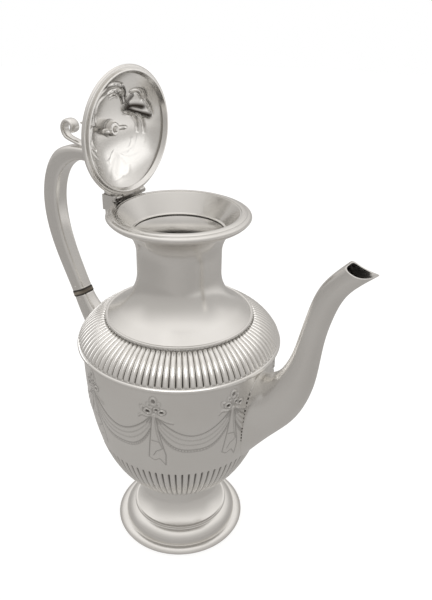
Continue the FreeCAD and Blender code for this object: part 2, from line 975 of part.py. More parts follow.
def spout_loft(inset):
    wires = []
    for upper, under, width in spout_stations:
        high = spout_point(upper)
        low = spout_point(under)
        across = high - low
        half = across.Length / 2.0
        wires.append(section((high + low) * 0.5, across.normalize(), half - inset, width / 2.0 - inset,
                             spout_squareness))
    return Part.makeLoft(wires, True)


def lip_cutter():
    """Everything above the scooped edge of the pouring lip."""
    back = spout_point((lip_back_out, lip_back_rise))
    tip = spout_point((lip_tip_out, lip_tip_rise))
    reach = lip_tip_out - lip_back_out
    far = tip + V(reach, 0, 0)
    edges = [
        bulged(back, tip, -lip_dip),
        line(tip, far),
        line(far, far + V(0, 0, 2.0 * reach)),
        line(far + V(0, 0, 2.0 * reach), V(back.x, 0, far.z + 2.0 * reach)),
        line(V(back.x, 0, far.z + 2.0 * reach), back),
    ]
    face = Part.Face(Part.Wire(edges))
    face.translate(V(0, -reach, 0))
    return face.extrude(V(0, 2.0 * reach, 0))


def spout():
    filled = bowl_filled()
    channel = spout_loft(spout_wall).cut(filled)
    return spout_loft(0.0).cut(filled).cut(lip_cutter()).cut(channel)


def nodes():
    """Every sub-part by name, standing as in the photograph with the lid open."""
    return {
        "foot_rim_wire": foot_rim_wire(),
        "foot": foot(),
        "foot_collar": foot_collar(),
        "bowl": bowl(),
        "girdle_moulding": girdle_moulding(),
        "shoulder": shoulder(),
        "shoulder_ring": shoulder_ring(),
        "neck": neck(),
        "rim_moulding": rim_moulding(),
        "mouth_bezel": mouth_bezel(),
        "spout": spout(),
        "upper_socket": upper_socket(),
        "upper_insulator": insulator(upper_cut, upper_joint),
        "handle_grip": handle_grip(),
        "lower_insulator": insulator(lower_cut, lower_joint),
        "lower_socket": lower_socket(),
        "insulator_pins": Part.Compound(rivets()),
        "thumb_scroll": thumb_scroll(),
        "hinge_body_leaf": hinge_body_leaf(),
        "hinge_pin": hinge_pin(),
        "lid_knuckles": opened(lid_knuckles()),
        "lid_rim_wire": opened(lid_rim_wire()),
        "lid_dome": opened(lid_dome()),
        "lid_flange": opened(lid_flange()),
        "finial": opened(finial()),
        "finial_stud": opened(stud()),
        "finial_washer": opened(finial_washer()),
        "wing_nut": opened(wing_nut()),
    }


os.makedirs("parts", exist_ok=True)
for name, shape in nodes().items():
    shape.exportStep(os.path.join("parts", name + ".step"))
    low = shape.BoundBox
    print(name, len(shape.Solids), shape.isValid(), round(shape.Volume, 1),
          [round(v, 1) for v in (low.XMin, low.YMin, low.ZMin, low.XMax, low.YMax, low.ZMax)])
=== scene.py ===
"""Looks of a silver coffee pot: raised, chased and polished silver around a fixed model.

All sizes are in millimetres until a mesh is written. The origin is the middle of the foot on the
table, +Z is up, the spout points to +X, the handle to -X and the hinge pin lies along Y.
"""

import logging
import math
from dataclasses import dataclass
from enum import Enum
from typing import Any, Optional, Sequence

import bmesh
import bpy
import numpy as np
from mathutils import Matrix, Vector


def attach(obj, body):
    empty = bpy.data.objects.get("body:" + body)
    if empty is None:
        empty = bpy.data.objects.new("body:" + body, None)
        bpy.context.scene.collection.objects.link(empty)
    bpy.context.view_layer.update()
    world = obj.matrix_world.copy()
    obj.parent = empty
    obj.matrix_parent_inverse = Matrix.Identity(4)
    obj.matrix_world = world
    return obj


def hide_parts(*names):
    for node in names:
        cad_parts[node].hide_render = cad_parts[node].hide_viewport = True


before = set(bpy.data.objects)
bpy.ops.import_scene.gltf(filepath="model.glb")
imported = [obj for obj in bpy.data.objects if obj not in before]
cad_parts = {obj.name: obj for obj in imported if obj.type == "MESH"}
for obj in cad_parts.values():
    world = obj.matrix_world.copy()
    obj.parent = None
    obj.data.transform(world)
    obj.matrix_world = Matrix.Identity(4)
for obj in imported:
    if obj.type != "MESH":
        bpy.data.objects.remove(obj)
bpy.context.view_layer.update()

LOG = logging.getLogger("coffee_pot")
MM = 0.001
# Point attribute for how dark a surface is painted, in its recesses, grooves and gaps.
RECESS = "recess"
# Columns of a turned moulding that is seen from close by.
FINE_TURN = 288
# Share of the darkening that the outside of repousse sheet keeps; on the lid dome that darkening is a
# painted dark reflection.
OUTSIDE_DARK_SHARE = 0.3
# Places where two sub-assemblies meet.
COLLAR_TOP = 33.4
BOWL_RADIUS = 58.4
BOWL_TOP = 139.4
NECK_FOOT = 42.6
RING_TOP = 159.8
HINGE_X = -35.95
HINGE_LEVEL = 224.6585
Pair = tuple[float, float]
Triple = tuple[float, float, float]
Stop = tuple[float, str]


class Body(Enum):
    """Rigid bodies of the pot."""

    POT = "pot"
    LID = "lid"


class Slot(Enum):
    """Material slots of the pot."""

    SILVER = "silver"
    INSULATOR = "insulator"


def linear(colour: str) -> tuple[float, float, float, float]:
    """Turn an sRGB hex colour to linear.

    Args:
        colour: Six hex digits after a hash.

    Returns:
        Linear red, green, blue and an alpha of one.
    """
    parts = [int(colour[place:place + 2], 16) / 255.0 for place in (1, 3, 5)]
    bent = [c / 12.92 if c <= 0.04045 else ((c + 0.055) / 1.055) ** 2.4 for c in parts]
    return bent[0], bent[1], bent[2], 1.0


def put(tree: bpy.types.NodeTree, kind: str, inputs: Optional[dict[Any, Any]] = None,
        **settings: Any) -> bpy.types.Node:
    """Add a node with its settings, values and links.

    Args:
        tree: Node tree that gets the node.
        kind: Blender's name of the node type.
        inputs: Input name or number to a value, or to an output socket that is linked to it.
        **settings: Properties of the node.

    Returns:
        The new node.
    """
    node = tree.nodes.new(kind)
    for name, value in settings.items():
        setattr(node, name, value)
    for name, value in (inputs or {}).items():
        if isinstance(value, bpy.types.NodeSocket):
            tree.links.new(value, node.inputs[name])
        else:
            node.inputs[name].default_value = value
    return node


def blank(owner: bpy.types.ID) -> bpy.types.NodeTree:
    """Turn on the nodes of a material or a world, and clear them.

    Args:
        owner: Material or world.

    Returns:
        Its empty node tree.
    """
    owner.use_nodes = True
    owner.node_tree.nodes.clear()
    return owner.node_tree


def ramp(node: bpy.types.Node, stops: Sequence[Stop]) -> bpy.types.Node:
    """Set the stops of a colour ramp.

    Args:
        node: Colour ramp node.
        stops: Positions with sRGB hex colours, in rising order.

    Returns:
        The same node.
    """
    elements = node.color_ramp.elements
    while len(elements) < len(stops):
        elements.new(1.0)
    for element, (position, colour) in zip(elements, stops):
        element.position = position
        element.color = linear(colour)
    return node


@dataclass(frozen=True)
class PolishedSilver:
    """Sterling silver sheet, raised with hammers and polished by hand.

    Polishing leaves a bright, slightly soft mirror with a faint waviness from the hammer and fine
    hairline marks. A grey-brown dark is painted where the recess attribute asks: dark patina along the
    spout's seam, painted shade in the shoulder's grooves and the hinge's gap, painted dark reflection in
    the lid's chasing, and darkening in the bowl's flutes and chasing.
    """

    name: str = "sterling_silver_raised_and_hand_polished"
    bright: str = "#F1F0EE"
    haze: str = "#E1DFDB"
    sulphide_and_shade: str = "#3B342E"
    roughness: float = 0.22
    roughness_spread: float = 0.08
    recess_roughness: float = 0.45
    haze_mm: float = 38.0
    hammer_mm: float = 16.0
    hammer_depth_mm: float = 0.012
    hairline_mm: float = 0.9
    hairline_depth_mm: float = 0.0012

    def build(self) -> bpy.types.Material:
        """Make the material.

        Returns:
            The material with its nodes.
        """
        material = bpy.data.materials.new(self.name)
        tree = blank(material)
        place = put(tree, "ShaderNodeTexCoord").outputs["Object"]
        recess = put(tree, "ShaderNodeAttribute", attribute_name=RECESS).outputs["Fac"]
        cloud = put(tree, "ShaderNodeTexNoise",
                    {"Vector": place, "Scale": 1.0 / (self.haze_mm * MM), "Detail": 3.0})
        tone = put(tree, "ShaderNodeMix",
                   {"Factor": cloud.outputs["Fac"], "A": linear(self.bright),
                    "B": linear(self.haze)}, data_type="RGBA")
        # Mix in the painted dark of the recess attribute: patina at the spout's seam, painted shade in the
        # shoulder's grooves and the hinge's gap, painted dark reflection in the lid's chasing.
        colour = put(tree, "ShaderNodeMix",
                     {"Factor": recess, "A": tone.outputs["Result"],
                      "B": linear(self.sulphide_and_shade)}, data_type="RGBA")
        # Hairlines of about 0.05 mm are drawn as coarse as the render needs to show them.
        hairline = put(tree, "ShaderNodeTexNoise",
                       {"Vector": place, "Scale": 1.0 / (self.hairline_mm * MM), "Detail": 4.0,
                        "Roughness": 0.65})
        rough = put(tree, "ShaderNodeMapRange",
                    {"Value": hairline.outputs["Fac"], "From Min": 0.3, "From Max": 0.7,
                     "To Min": self.roughness - self.roughness_spread / 2.0,
                     "To Max": self.roughness + self.roughness_spread / 2.0})
        dull = put(tree, "ShaderNodeMix",
                   {"Factor": recess, "A": rough.outputs["Result"],
                    "B": self.recess_roughness}, data_type="FLOAT")
        hammer = put(tree, "ShaderNodeTexNoise",
                     {"Vector": place, "Scale": 1.0 / (self.hammer_mm * MM), "Detail": 1.0})
        waves = put(tree, "ShaderNodeBump",
                    {"Height": hammer.outputs["Fac"], "Distance": self.hammer_depth_mm * MM})
        marks = put(tree, "ShaderNodeBump",
                    {"Height": hairline.outputs["Fac"], "Distance": self.hairline_depth_mm * MM,
                     "Normal": waves.outputs["Normal"]})
        surface = put(tree, "ShaderNodeBsdfPrincipled",
                      {"Base Color": colour.outputs["Result"], "Metallic": 1.0,
                       "Roughness": dull.outputs["Result"], "Normal": marks.outputs["Normal"]})
        put(tree, "ShaderNodeOutputMaterial", {"Surface": surface.outputs["BSDF"]})
        return material


@dataclass(frozen=True)
class OiledEbony:
    """Ebony sawn to a block and oiled, used as a heat break.

    Oil leaves a low sheen on a dark brown with fine, close pores along the grain. A pale beige is mixed in
    streaks along the grain as a painted sheen. The grain is drawn coarser than it is, as the render needs to
    show it.
    """

    name: str = "ebony_sawn_and_oiled"
    dark: str = "#1C1714"
    # Pale beige mixed in along the grain: a painted sheen.
    light: str = "#A59A8A"
    roughness: float = 0.5
    grain_mm: float = 2.4
    pore_depth_mm: float = 0.05

    def build(self) -> bpy.types.Material:
        """Make the material.

        Returns:
            The material with its nodes.
        """
        material = bpy.data.materials.new(self.name)
        tree = blank(material)
        place = put(tree, "ShaderNodeTexCoord").outputs["Object"]
        along = put(tree, "ShaderNodeMapping", {"Vector": place, "Scale": (1.0, 0.25, 1.0)})
        recess = put(tree, "ShaderNodeAttribute", attribute_name=RECESS).outputs["Fac"]
        grain = put(tree, "ShaderNodeTexNoise",
                    {"Vector": along.outputs["Vector"], "Scale": 1.0 / (self.grain_mm * MM),
                     "Detail": 5.0, "Roughness": 0.6})
        tone = put(tree, "ShaderNodeMix",
                   {"Factor": grain.outputs["Fac"], "A": linear(self.dark),
                    "B": linear(self.light)}, data_type="RGBA")
        colour = put(tree, "ShaderNodeMix",
                     {"Factor": recess, "A": tone.outputs["Result"],
                      "B": linear(self.dark)}, data_type="RGBA")
        pores = put(tree, "ShaderNodeBump",
                    {"Height": grain.outputs["Fac"], "Distance": self.pore_depth_mm * MM})
        surface = put(tree, "ShaderNodeBsdfPrincipled",
                      {"Base Color": colour.outputs["Result"], "Roughness": self.roughness,
                       "Normal": pores.outputs["Normal"]})
        put(tree, "ShaderNodeOutputMaterial", {"Surface": surface.outputs["BSDF"]})
        return material


@dataclass
class Dresser:
    """Gives each finished piece the material of its slot and its body, and hides the solid that it stands
    for.
    """

    silver: bpy.types.Material
    ebony: bpy.types.Material

    def dress(self, piece: bpy.types.Object, node: str, body: Body = Body.POT,
              slot: Slot = Slot.SILVER) -> bpy.types.Object:
        """Dress one piece.

        Args:
            piece: Finished object.
            node: Solid that the piece replaces.
            body: Body that it moves with.
            slot: Material slot that it takes its finish from.

        Returns:
            The same object.
        """
        material = self.silver if slot is Slot.SILVER else self.ebony
        piece.data.materials.clear()
        piece.data.materials.append(material)
        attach(piece, body.value)
        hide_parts(node)
        LOG.info("%s: %d faces on %s", piece.name, len(piece.data.polygons), body.value)
        return piece


def mesh_piece(name: str, points: np.ndarray, faces: Sequence[Sequence[int]],
               recess: Optional[np.ndarray] = None, sharp: float = 40.0) -> bpy.types.Object:
    """Make an object from points in millimetres.

    Args:
        name: Name of the piece.
        points: Points, one row each.
        faces: Point numbers of each face.
        recess: How dark each point is painted, from 0 to 1.
        sharp: Edges that bend by more than this many degrees stay crisp.

    Returns:
        The linked object with outward normals.
    """
    mesh = bpy.data.meshes.new(name)
    mesh.from_pydata((np.asarray(points, float) * MM).tolist(), [], faces)
    if recess is not None:
        layer = mesh.attributes.new(RECESS, "FLOAT", "POINT")
        layer.data.foreach_set("value", np.clip(recess, 0.0, 1.0).astype(np.float32))
    body = bmesh.new()
    body.from_mesh(mesh)
    bmesh.ops.remove_doubles(body, verts=body.verts, dist=1e-7)
    bmesh.ops.recalc_face_normals(body, faces=body.faces)
    body.to_mesh(mesh)
    body.free()
    mesh.shade_smooth()
    mesh.set_sharp_from_angle(angle=math.radians(sharp))
    piece = bpy.data.objects.new(name, mesh)
    bpy.context.scene.collection.objects.link(piece)
    return piece


def grid(rows: int, columns: int, close_rows: bool, close_columns: bool) -> list[tuple]:
    """Number the faces of a grid of points, row by row.

    Args:
        rows: Count of rows.
        columns: Count of points in a row.
        close_rows: Whether the last row joins the first.
        close_columns: Whether the last point of a row joins its first.

    Returns:
        Four point numbers for each face.
    """
    faces = []
    for row in range(rows if close_rows else rows - 1):
        here, there = row * columns, ((row + 1) % rows) * columns
        for column in range(columns if close_columns else columns - 1):
            side = (column + 1) % columns
            faces.append((here + column, here + side, there + side, there + column))
    return faces


def joined(parts: Sequence[tuple[np.ndarray, Sequence[Sequence[int]]]]) -> tuple[np.ndarray, list[tuple]]:
    """Gather loose parts for one mesh.

    Args:
        parts: Points and faces of each part.

    Returns:
        All points, and all faces numbered through.
    """
    faces: list[tuple] = []
    base = 0
    for points, sides in parts:
        faces += [tuple(base + corner for corner in side) for side in sides]
        base += len(points)
    return np.concatenate([points for points, _ in parts]), faces


def full_turn(count: int) -> np.ndarray:
    """Even angles round a full turn."""
    return np.linspace(0.0, 2.0 * math.pi, count, endpoint=False)


def squared(values: np.ndarray, power: Any) -> np.ndarray:
    """Cosines or sines raised to a power with their sign kept, for a rounded-square section."""
    return np.sign(values) * np.abs(values) ** power


def section(spot: Sequence[float], across: np.ndarray, over: np.ndarray, beside: np.ndarray) -> np.ndarray:
    """Ring of points around a place on a line in the XZ plane.

    Args:
        spot: X and Z of the place.
        across: Direction across the line, in X and Z.
        over: How far each point lies across the line.
        beside: How far each point lies to the side, along Y.

    Returns:
        One point for each value.
    """
    return np.stack([spot[0] + over * across[0], beside, spot[1] + over * across[1]], axis=1)


def revolved(radii: np.ndarray, levels: np.ndarray, columns: int) -> np.ndarray:
    """Turn rows of points about the Z axis.

    Args:
        radii: Radius of each row, or of each row and column.
        levels: Height of each row, or of each row and column.
        columns: Steps round the axis.

    Returns:
        One point for each row and column.
    """
    angles = full_turn(columns)
    parts = np.broadcast_arrays(radii * np.cos(angles), radii * np.sin(angles), levels)
    return np.stack(parts, axis=-1).reshape(-1, 3)


def arc(start: Pair, end: Pair, bulge: float, count: int = 12) -> list[Pair]:
    """Points on an arc whose middle stands to the left of the chord.

    Args:
        start: First point.
        end: Last point.
        bulge: Height of the arc over its chord, negative to the right.
        count: Steps along the arc.

    Returns:
        The points with both ends.
    """
    first, last = np.array(start, float), np.array(end, float)
    chord = last - first
    length = float(np.hypot(*chord))
    left = np.array([-chord[1], chord[0]]) / length
    radius = (length * length / 4.0 + bulge * bulge) / (2.0 * bulge)
    centre = (first + last) / 2.0 + left * (bulge - radius)
    half = 2.0 * math.atan(2.0 * bulge / length)
    points = []
    for step in range(count + 1):
        angle = half * (1.0 - 2.0 * step / count)
        turn = np.array([[math.cos(angle), -math.sin(angle)], [math.sin(angle), math.cos(angle)]])
        points.append(tuple(centre + turn @ (left * radius)))
    return points


def softened(points: Sequence[Pair], radius: float, steps: int = 4) -> list[Pair]:
    """Round the corners of a closed outline, as buffing does.

    Args:
        points: Corners and curve points in order.
        radius: Length taken off each side of a corner, at most.
        steps: Steps in each rounded corner.

    Returns:
        The outline with its corners rounded.
    """
    source = [np.array(point, float) for point in points]
    count = len(source)
    result: list[Pair] = []
    for place, point in enumerate(source):
        before, after = source[place - 1] - point, source[(place + 1) % count] - point
        back, on = float(np.hypot(*before)), float(np.hypot(*after))
        if min(back, on) < 1e-9:
            continue
        turn = math.acos(max(-1.0, min(1.0, -float(before @ after) / (back * on))))
        if turn < math.radians(22.0):
            result.append(tuple(point))
            continue
        cut = min(radius, back * 0.45, on * 0.45)
        first, last = point + before / back * cut, point + after / on * cut
        for step in range(steps + 1):
            share = step / steps
            spot = first * (1 - share) ** 2 + point * 2 * share * (1 - share) + last * share ** 2
            result.append(tuple(spot))
    return result


def spline(points: Sequence[Sequence[float]], count: int) -> np.ndarray:
    """Smooth curve through points, with even steps between its ends.

    Args:
        points: Points of any size, in order.
        count: Steps along the whole curve.

    Returns:
        One row for each step and both ends.
    """
    knots = np.array(points, float)
    gaps = np.linalg.norm(np.diff(knots, axis=0), axis=1)
    marks = np.concatenate([[0.0], np.cumsum(gaps)])
    size = len(knots)
    matrix, right = np.zeros((size, size)), np.zeros_like(knots)
    matrix[0, 0] = matrix[-1, -1] = 1.0
    for place in range(1, size - 1):
        low, high = gaps[place - 1], gaps[place]
        matrix[place, place - 1:place + 2] = low, 2.0 * (low + high), high
        right[place] = 6.0 * ((knots[place + 1] - knots[place]) / high
                              - (knots[place] - knots[place - 1]) / low)
    bend = np.linalg.solve(matrix, right)
    result = []
    for mark in np.linspace(0.0, marks[-1], count + 1):
        place = min(int(np.searchsorted(marks, mark, "right")) - 1, size - 2)
        gap = gaps[place]
        ahead, behind = (marks[place + 1] - mark) / gap, (mark - marks[place]) / gap
        result.append(ahead * knots[place] + behind * knots[place + 1]
                      + ((ahead ** 3 - ahead) * bend[place]
                         + (behind ** 3 - behind) * bend[place + 1]) * gap * gap / 6.0)
    return np.array(result)


def lathe(name: str, outline: Sequence[Pair], segments: int = 224) -> bpy.types.Object:
    """Turn a closed outline about the Z axis.

    Args:
        name: Name of the piece.
        outline: Radius and height of each point.
        segments: Steps round the axis.

    Returns:
        The turned object, with normals that keep its flats flat.
    """
    profile = np.array(outline, float)
    points = revolved(profile[:, :1], profile[:, 1:], segments)
    piece = mesh_piece(name, points, grid(len(profile), segments, True, True))
    weight = piece.modifiers.new("flats", "WEIGHTED_NORMAL")
    weight.keep_sharp = True
    return piece


def relief_shell(name: str, outer: np.ndarray, inner: np.ndarray, height: np.ndarray,
                 recess: np.ndarray, both: bool = False) -> bpy.types.Object:
    """Turned wall whose outside, or both sides, carry a relief.

    Args:
        name: Name of the piece.
        outer: Radius and height of each row of the outside.
        inner: Radius and height of each row of the inside, from the same end.
        height: Relief of each outside row and column, along the outside's normal.
        recess: Darkening of each outside row and column.
        both: Whether the inside carries the same relief, as repousse sheet does. The outside then keeps only
            a share of the darkening, which on the lid dome is a painted dark reflection.

    Returns:
        The closed wall.
    """
    columns = height.shape[1]
    along = np.gradient(outer, axis=0)
    along /= np.linalg.norm(along, axis=1)[:, None]
    normal = np.stack([along[:, 1], -along[:, 0]], axis=1)
    lifted = outer[:, None, :] + normal[:, None, :] * height[:, :, None]
    if both:
        under = (inner[:, None, :] + normal[:, None, :] * height[:, :, None])[::-1]
        shade_under = recess[::-1]
    else:
        under = np.repeat(inner[::-1, None, :], columns, axis=1)
        shade_under = np.zeros((len(inner), columns))
    sheet = np.concatenate([lifted, under], axis=0)
    shade = np.concatenate([recess * (OUTSIDE_DARK_SHARE if both else 1.0), shade_under], axis=0)
    return mesh_piece(name, revolved(sheet[..., 0], sheet[..., 1], columns),
                      grid(len(sheet), columns, True, True), shade.reshape(-1), sharp=70.0)


def sweep(name: str, rings: np.ndarray, recess: Optional[np.ndarray] = None,
          sharp: float = 40.0) -> bpy.types.Object:
    """Join rings of points to a closed solid with flat ends.

    Args:
        name: Name of the piece.
        rings: Points of each ring, ring by ring.
        recess: Darkening of each point.
        sharp: Edges that bend by more than this many degrees stay crisp.

    Returns:
        The closed object.
    """
    count, size = rings.shape[:2]
    faces: list[Sequence[int]] = list(grid(count, size, False, True))
    faces.append(list(range(size)))
    faces.append(list(range((count - 1) * size, count * size)))
    return mesh_piece(name, rings.reshape(-1, 3), faces,
                      None if recess is None else recess.reshape(-1), sharp)


def rounded_copy(name: str, node: str, width: float, steps: int = 3) -> bpy.types.Object:
    """Copy a solid with its edges rounded.

    Args:
        name: Name of the piece.
        node: Solid to copy.
        width: Width of the rounding in millimetres.
        steps: Steps across each rounding.

    Returns:
        The rounded object.
    """
    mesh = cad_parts[node].data.copy()
    mesh.name = name
    body = bmesh.new()
    body.from_mesh(mesh)
    bmesh.ops.remove_doubles(body, verts=body.verts, dist=1e-6)
    bmesh.ops.dissolve_limit(body, angle_limit=math.radians(1.0), verts=body.verts,
                             edges=body.edges)
    body.to_mesh(mesh)
    body.free()
    mesh.shade_smooth()
    piece = bpy.data.objects.new(name, mesh)
    bpy.context.scene.collection.objects.link(piece)
    bevel = piece.modifiers.new("buffed_edges", "BEVEL")
    bevel.width = width * MM
    bevel.segments = steps
    bevel.limit_method = "ANGLE"
    bevel.angle_limit = math.radians(35.0)
    bevel.harden_normals = True
    return piece


def settle(piece: bpy.types.Object) -> None:
    """Write a piece's modifiers into its mesh.

    Args:
        piece: Mesh object whose modifiers are applied and then removed.
    """
    bpy.context.view_layer.update()
    solid = bpy.data.meshes.new_from_object(
        piece.evaluated_get(bpy.context.evaluated_depsgraph_get()))
    old = piece.data
    piece.modifiers.clear()
    piece.data = solid
    solid.name = old.name
    bpy.data.meshes.remove(old)


def cut_away(piece: bpy.types.Object, cutters: Sequence[bpy.types.Object]) -> None:
    """Take the shape of some cutters out of a piece, and clear the cutters away.

    Args:
        piece: Piece that is cut.
        cutters: Closed shapes to take out.
    """
    for cutter in cutters:
        cut = piece.modifiers.new("cut", "BOOLEAN")
        cut.operation = "DIFFERENCE"
        cut.solver = "EXACT"
        cut.object = cutter
    settle(piece)
    for cutter in cutters:
        bpy.data.objects.remove(cutter)


class Relief:
    """Height and shade of chased ornament, drawn on a flat sheet of points in millimetres."""

    def __init__(self, across: np.ndarray, up: np.ndarray) -> None:
        """Start a plain sheet.

        Args:
            across: Place of each point across the sheet.
            up: Place of each point up the sheet.
        """
        self.across = across
        self.up = up
        self.height = np.zeros_like(across)
        self.recess = np.zeros_like(across)

    def distance(self, path: Sequence[Pair]) -> np.ndarray:
        """Distance of each point of the sheet to a path of straight runs.

        Args:
            path: Points of the path.

        Returns:
            One distance for each point of the sheet.
        """
        best = np.full_like(self.across, 1e9)
        for (x0, y0), (x1, y1) in zip(path, path[1:]):
            dx, dy = x1 - x0, y1 - y0
            share = ((self.across - x0) * dx + (self.up - y0) * dy) / max(dx * dx + dy * dy, 1e-9)
            share = np.clip(share, 0.0, 1.0)
            best = np.minimum(best, np.hypot(self.across - x0 - share * dx,
                                             self.up - y0 - share * dy))
        return best

    def stroke(self, path: Sequence[Pair], height: float, width: float, shade: float = 0.0) -> None:
        """Raise or sink a line.

        Args:
            path: Points of the line.
            height: Height at its middle, negative for a groove.
            width: Half width at which it has mostly faded.
            shade: Darkening at its middle.
        """
        near = np.exp(-(self.distance(path) / width) ** 2)
        self.height += height * near
        self.recess = np.maximum(self.recess, shade * near)

    def loop(self, centre: Pair, half: Pair, tilt: float, height: float, width: float,
             shade: float) -> None:
        """Raise the ribbon of an open loop around a dark hollow.

        Args:
            centre: Middle of the loop.
            half: Half width and half height of the ribbon's middle line.
            tilt: Turn of the loop in degrees.
            height: Height of the ribbon.
            width: Half width of the ribbon.
            shade: Darkening inside the loop.
        """
        turn = math.radians(tilt)
        x, y = self.across - centre[0], self.up - centre[1]
        along = (x * math.cos(turn) + y * math.sin(turn)) / half[0]
        over = (-x * math.sin(turn) + y * math.cos(turn)) / half[1]
        reach = np.hypot(along, over)
        size = min(half)
        ribbon = np.exp(-(((reach - 1.0) * size) / width) ** 2)
        inside = np.clip((1.0 - reach) * size / width - 0.4, 0.0, 1.0)
        outside = np.exp(-(((reach - 1.0) * size - 1.7 * width) / (0.6 * width)) ** 2)
        self.height = np.maximum(self.height, height * ribbon) - 0.35 * height * inside
        self.recess = np.maximum(self.recess * (1.0 - ribbon), shade * inside)
        self.recess = np.maximum(self.recess, 0.45 * shade * outside)

    def pit(self, centre: Pair, half: Pair, depth: float, shade: float) -> None:
        """Sink a small punched hollow.

        Args:
            centre: Middle of the hollow.
            half: Half width and half height.
            depth: Depth at its middle.
            shade: Darkening at its middle.
        """
        near = np.exp(-(((self.across - centre[0]) / half[0]) ** 2
                        + ((self.up - centre[1]) / half[1]) ** 2))
        self.height -= depth * near
        self.recess = np.maximum(self.recess, shade * near)


@dataclass
class Foot:
    """Turned foot: a rounded ring, a cushion with a ledge, a trumpet stem and a collar."""

    ring_radius: float = 42.7
    ring_width: float = 6.6
    ring_height: float = 4.2
    ring_round: float = 1.6
    cushion_radius: float = 37.4
    cushion_top: float = 11.6
    cushion_bulge: float = 1.6
    ledge_radius: float = 31.0
    ledge_top: float = 13.2
    ledge_width: float = 1.2
    stem_radius: float = 18.6
    stem_top: float = 31.0
    stem_hollow: float = 3.0
    wall: float = 1.1
    collar_radius: float = 20.6
    collar_top: float = COLLAR_TOP
    collar_bore: float = 13.5
    ring_edge: float = 0.35
    shell_edge: float = 0.4

    def ring(self) -> list[Pair]:
        """Outline of the ring that stands on the table.

        Returns:
            Closed outline of radius and level pairs for the lathe.
        """
        inner = self.ring_radius - self.ring_width
        side = (self.ring_radius, self.ring_round)
        shelf = (self.cushion_radius + self.ring_round / 2.0, self.ring_height)
        return softened([(inner, 0.0), (self.ring_radius - self.ring_round / 2.0, 0.0)]
                        + arc(side, shelf, -self.ring_round / 2.0, 10)
                        + [(inner, self.ring_height)], self.ring_edge)

    def side(self, inset: float) -> list[Pair]:
        """Side of the cushion, ledge and stem, moved in by the wall for its inside.

        Args:
            inset: Distance inward from the outside, 0 for the outside itself.

        Returns:
            Radius and level pairs from the lowest to the highest.
        """
        low = (self.cushion_radius - inset, self.ring_height)
        step = (self.ledge_radius - inset, self.cushion_top - inset)
        edge = (self.ledge_radius - inset, self.ledge_top - inset)
        root = (self.ledge_radius - self.ledge_width - inset, self.ledge_top - inset)
        top = (self.stem_radius - inset, self.stem_top)
        return arc(low, step, -self.cushion_bulge, 12) + [edge] + arc(root, top, self.stem_hollow, 20)

    def collar(self) -> list[Pair]:
        """Outline of the collar between stem and bowl.

        Returns:
            Closed outline of radius and level pairs for the lathe.
        """
        low, high = (self.stem_radius, self.stem_top), (self.stem_radius, self.collar_top)
        bulge = self.stem_radius - self.collar_radius
        return [(self.collar_bore, self.stem_top)] + arc(low, high, bulge, 10) + [
            (self.collar_bore, self.collar_top)]

    def build(self, dresser: Dresser) -> None:
        """Build and dress the foot's pieces.

        Args:
            dresser: Gives each piece its material and body.
        """
        dresser.dress(lathe("foot_ring", self.ring()), "foot_rim_wire")
        shell = softened(self.side(0.0) + self.side(self.wall)[::-1], self.shell_edge)
        dresser.dress(lathe("foot_cushion_and_stem", shell), "foot")
        dresser.dress(lathe("collar", self.collar()), "foot_collar")


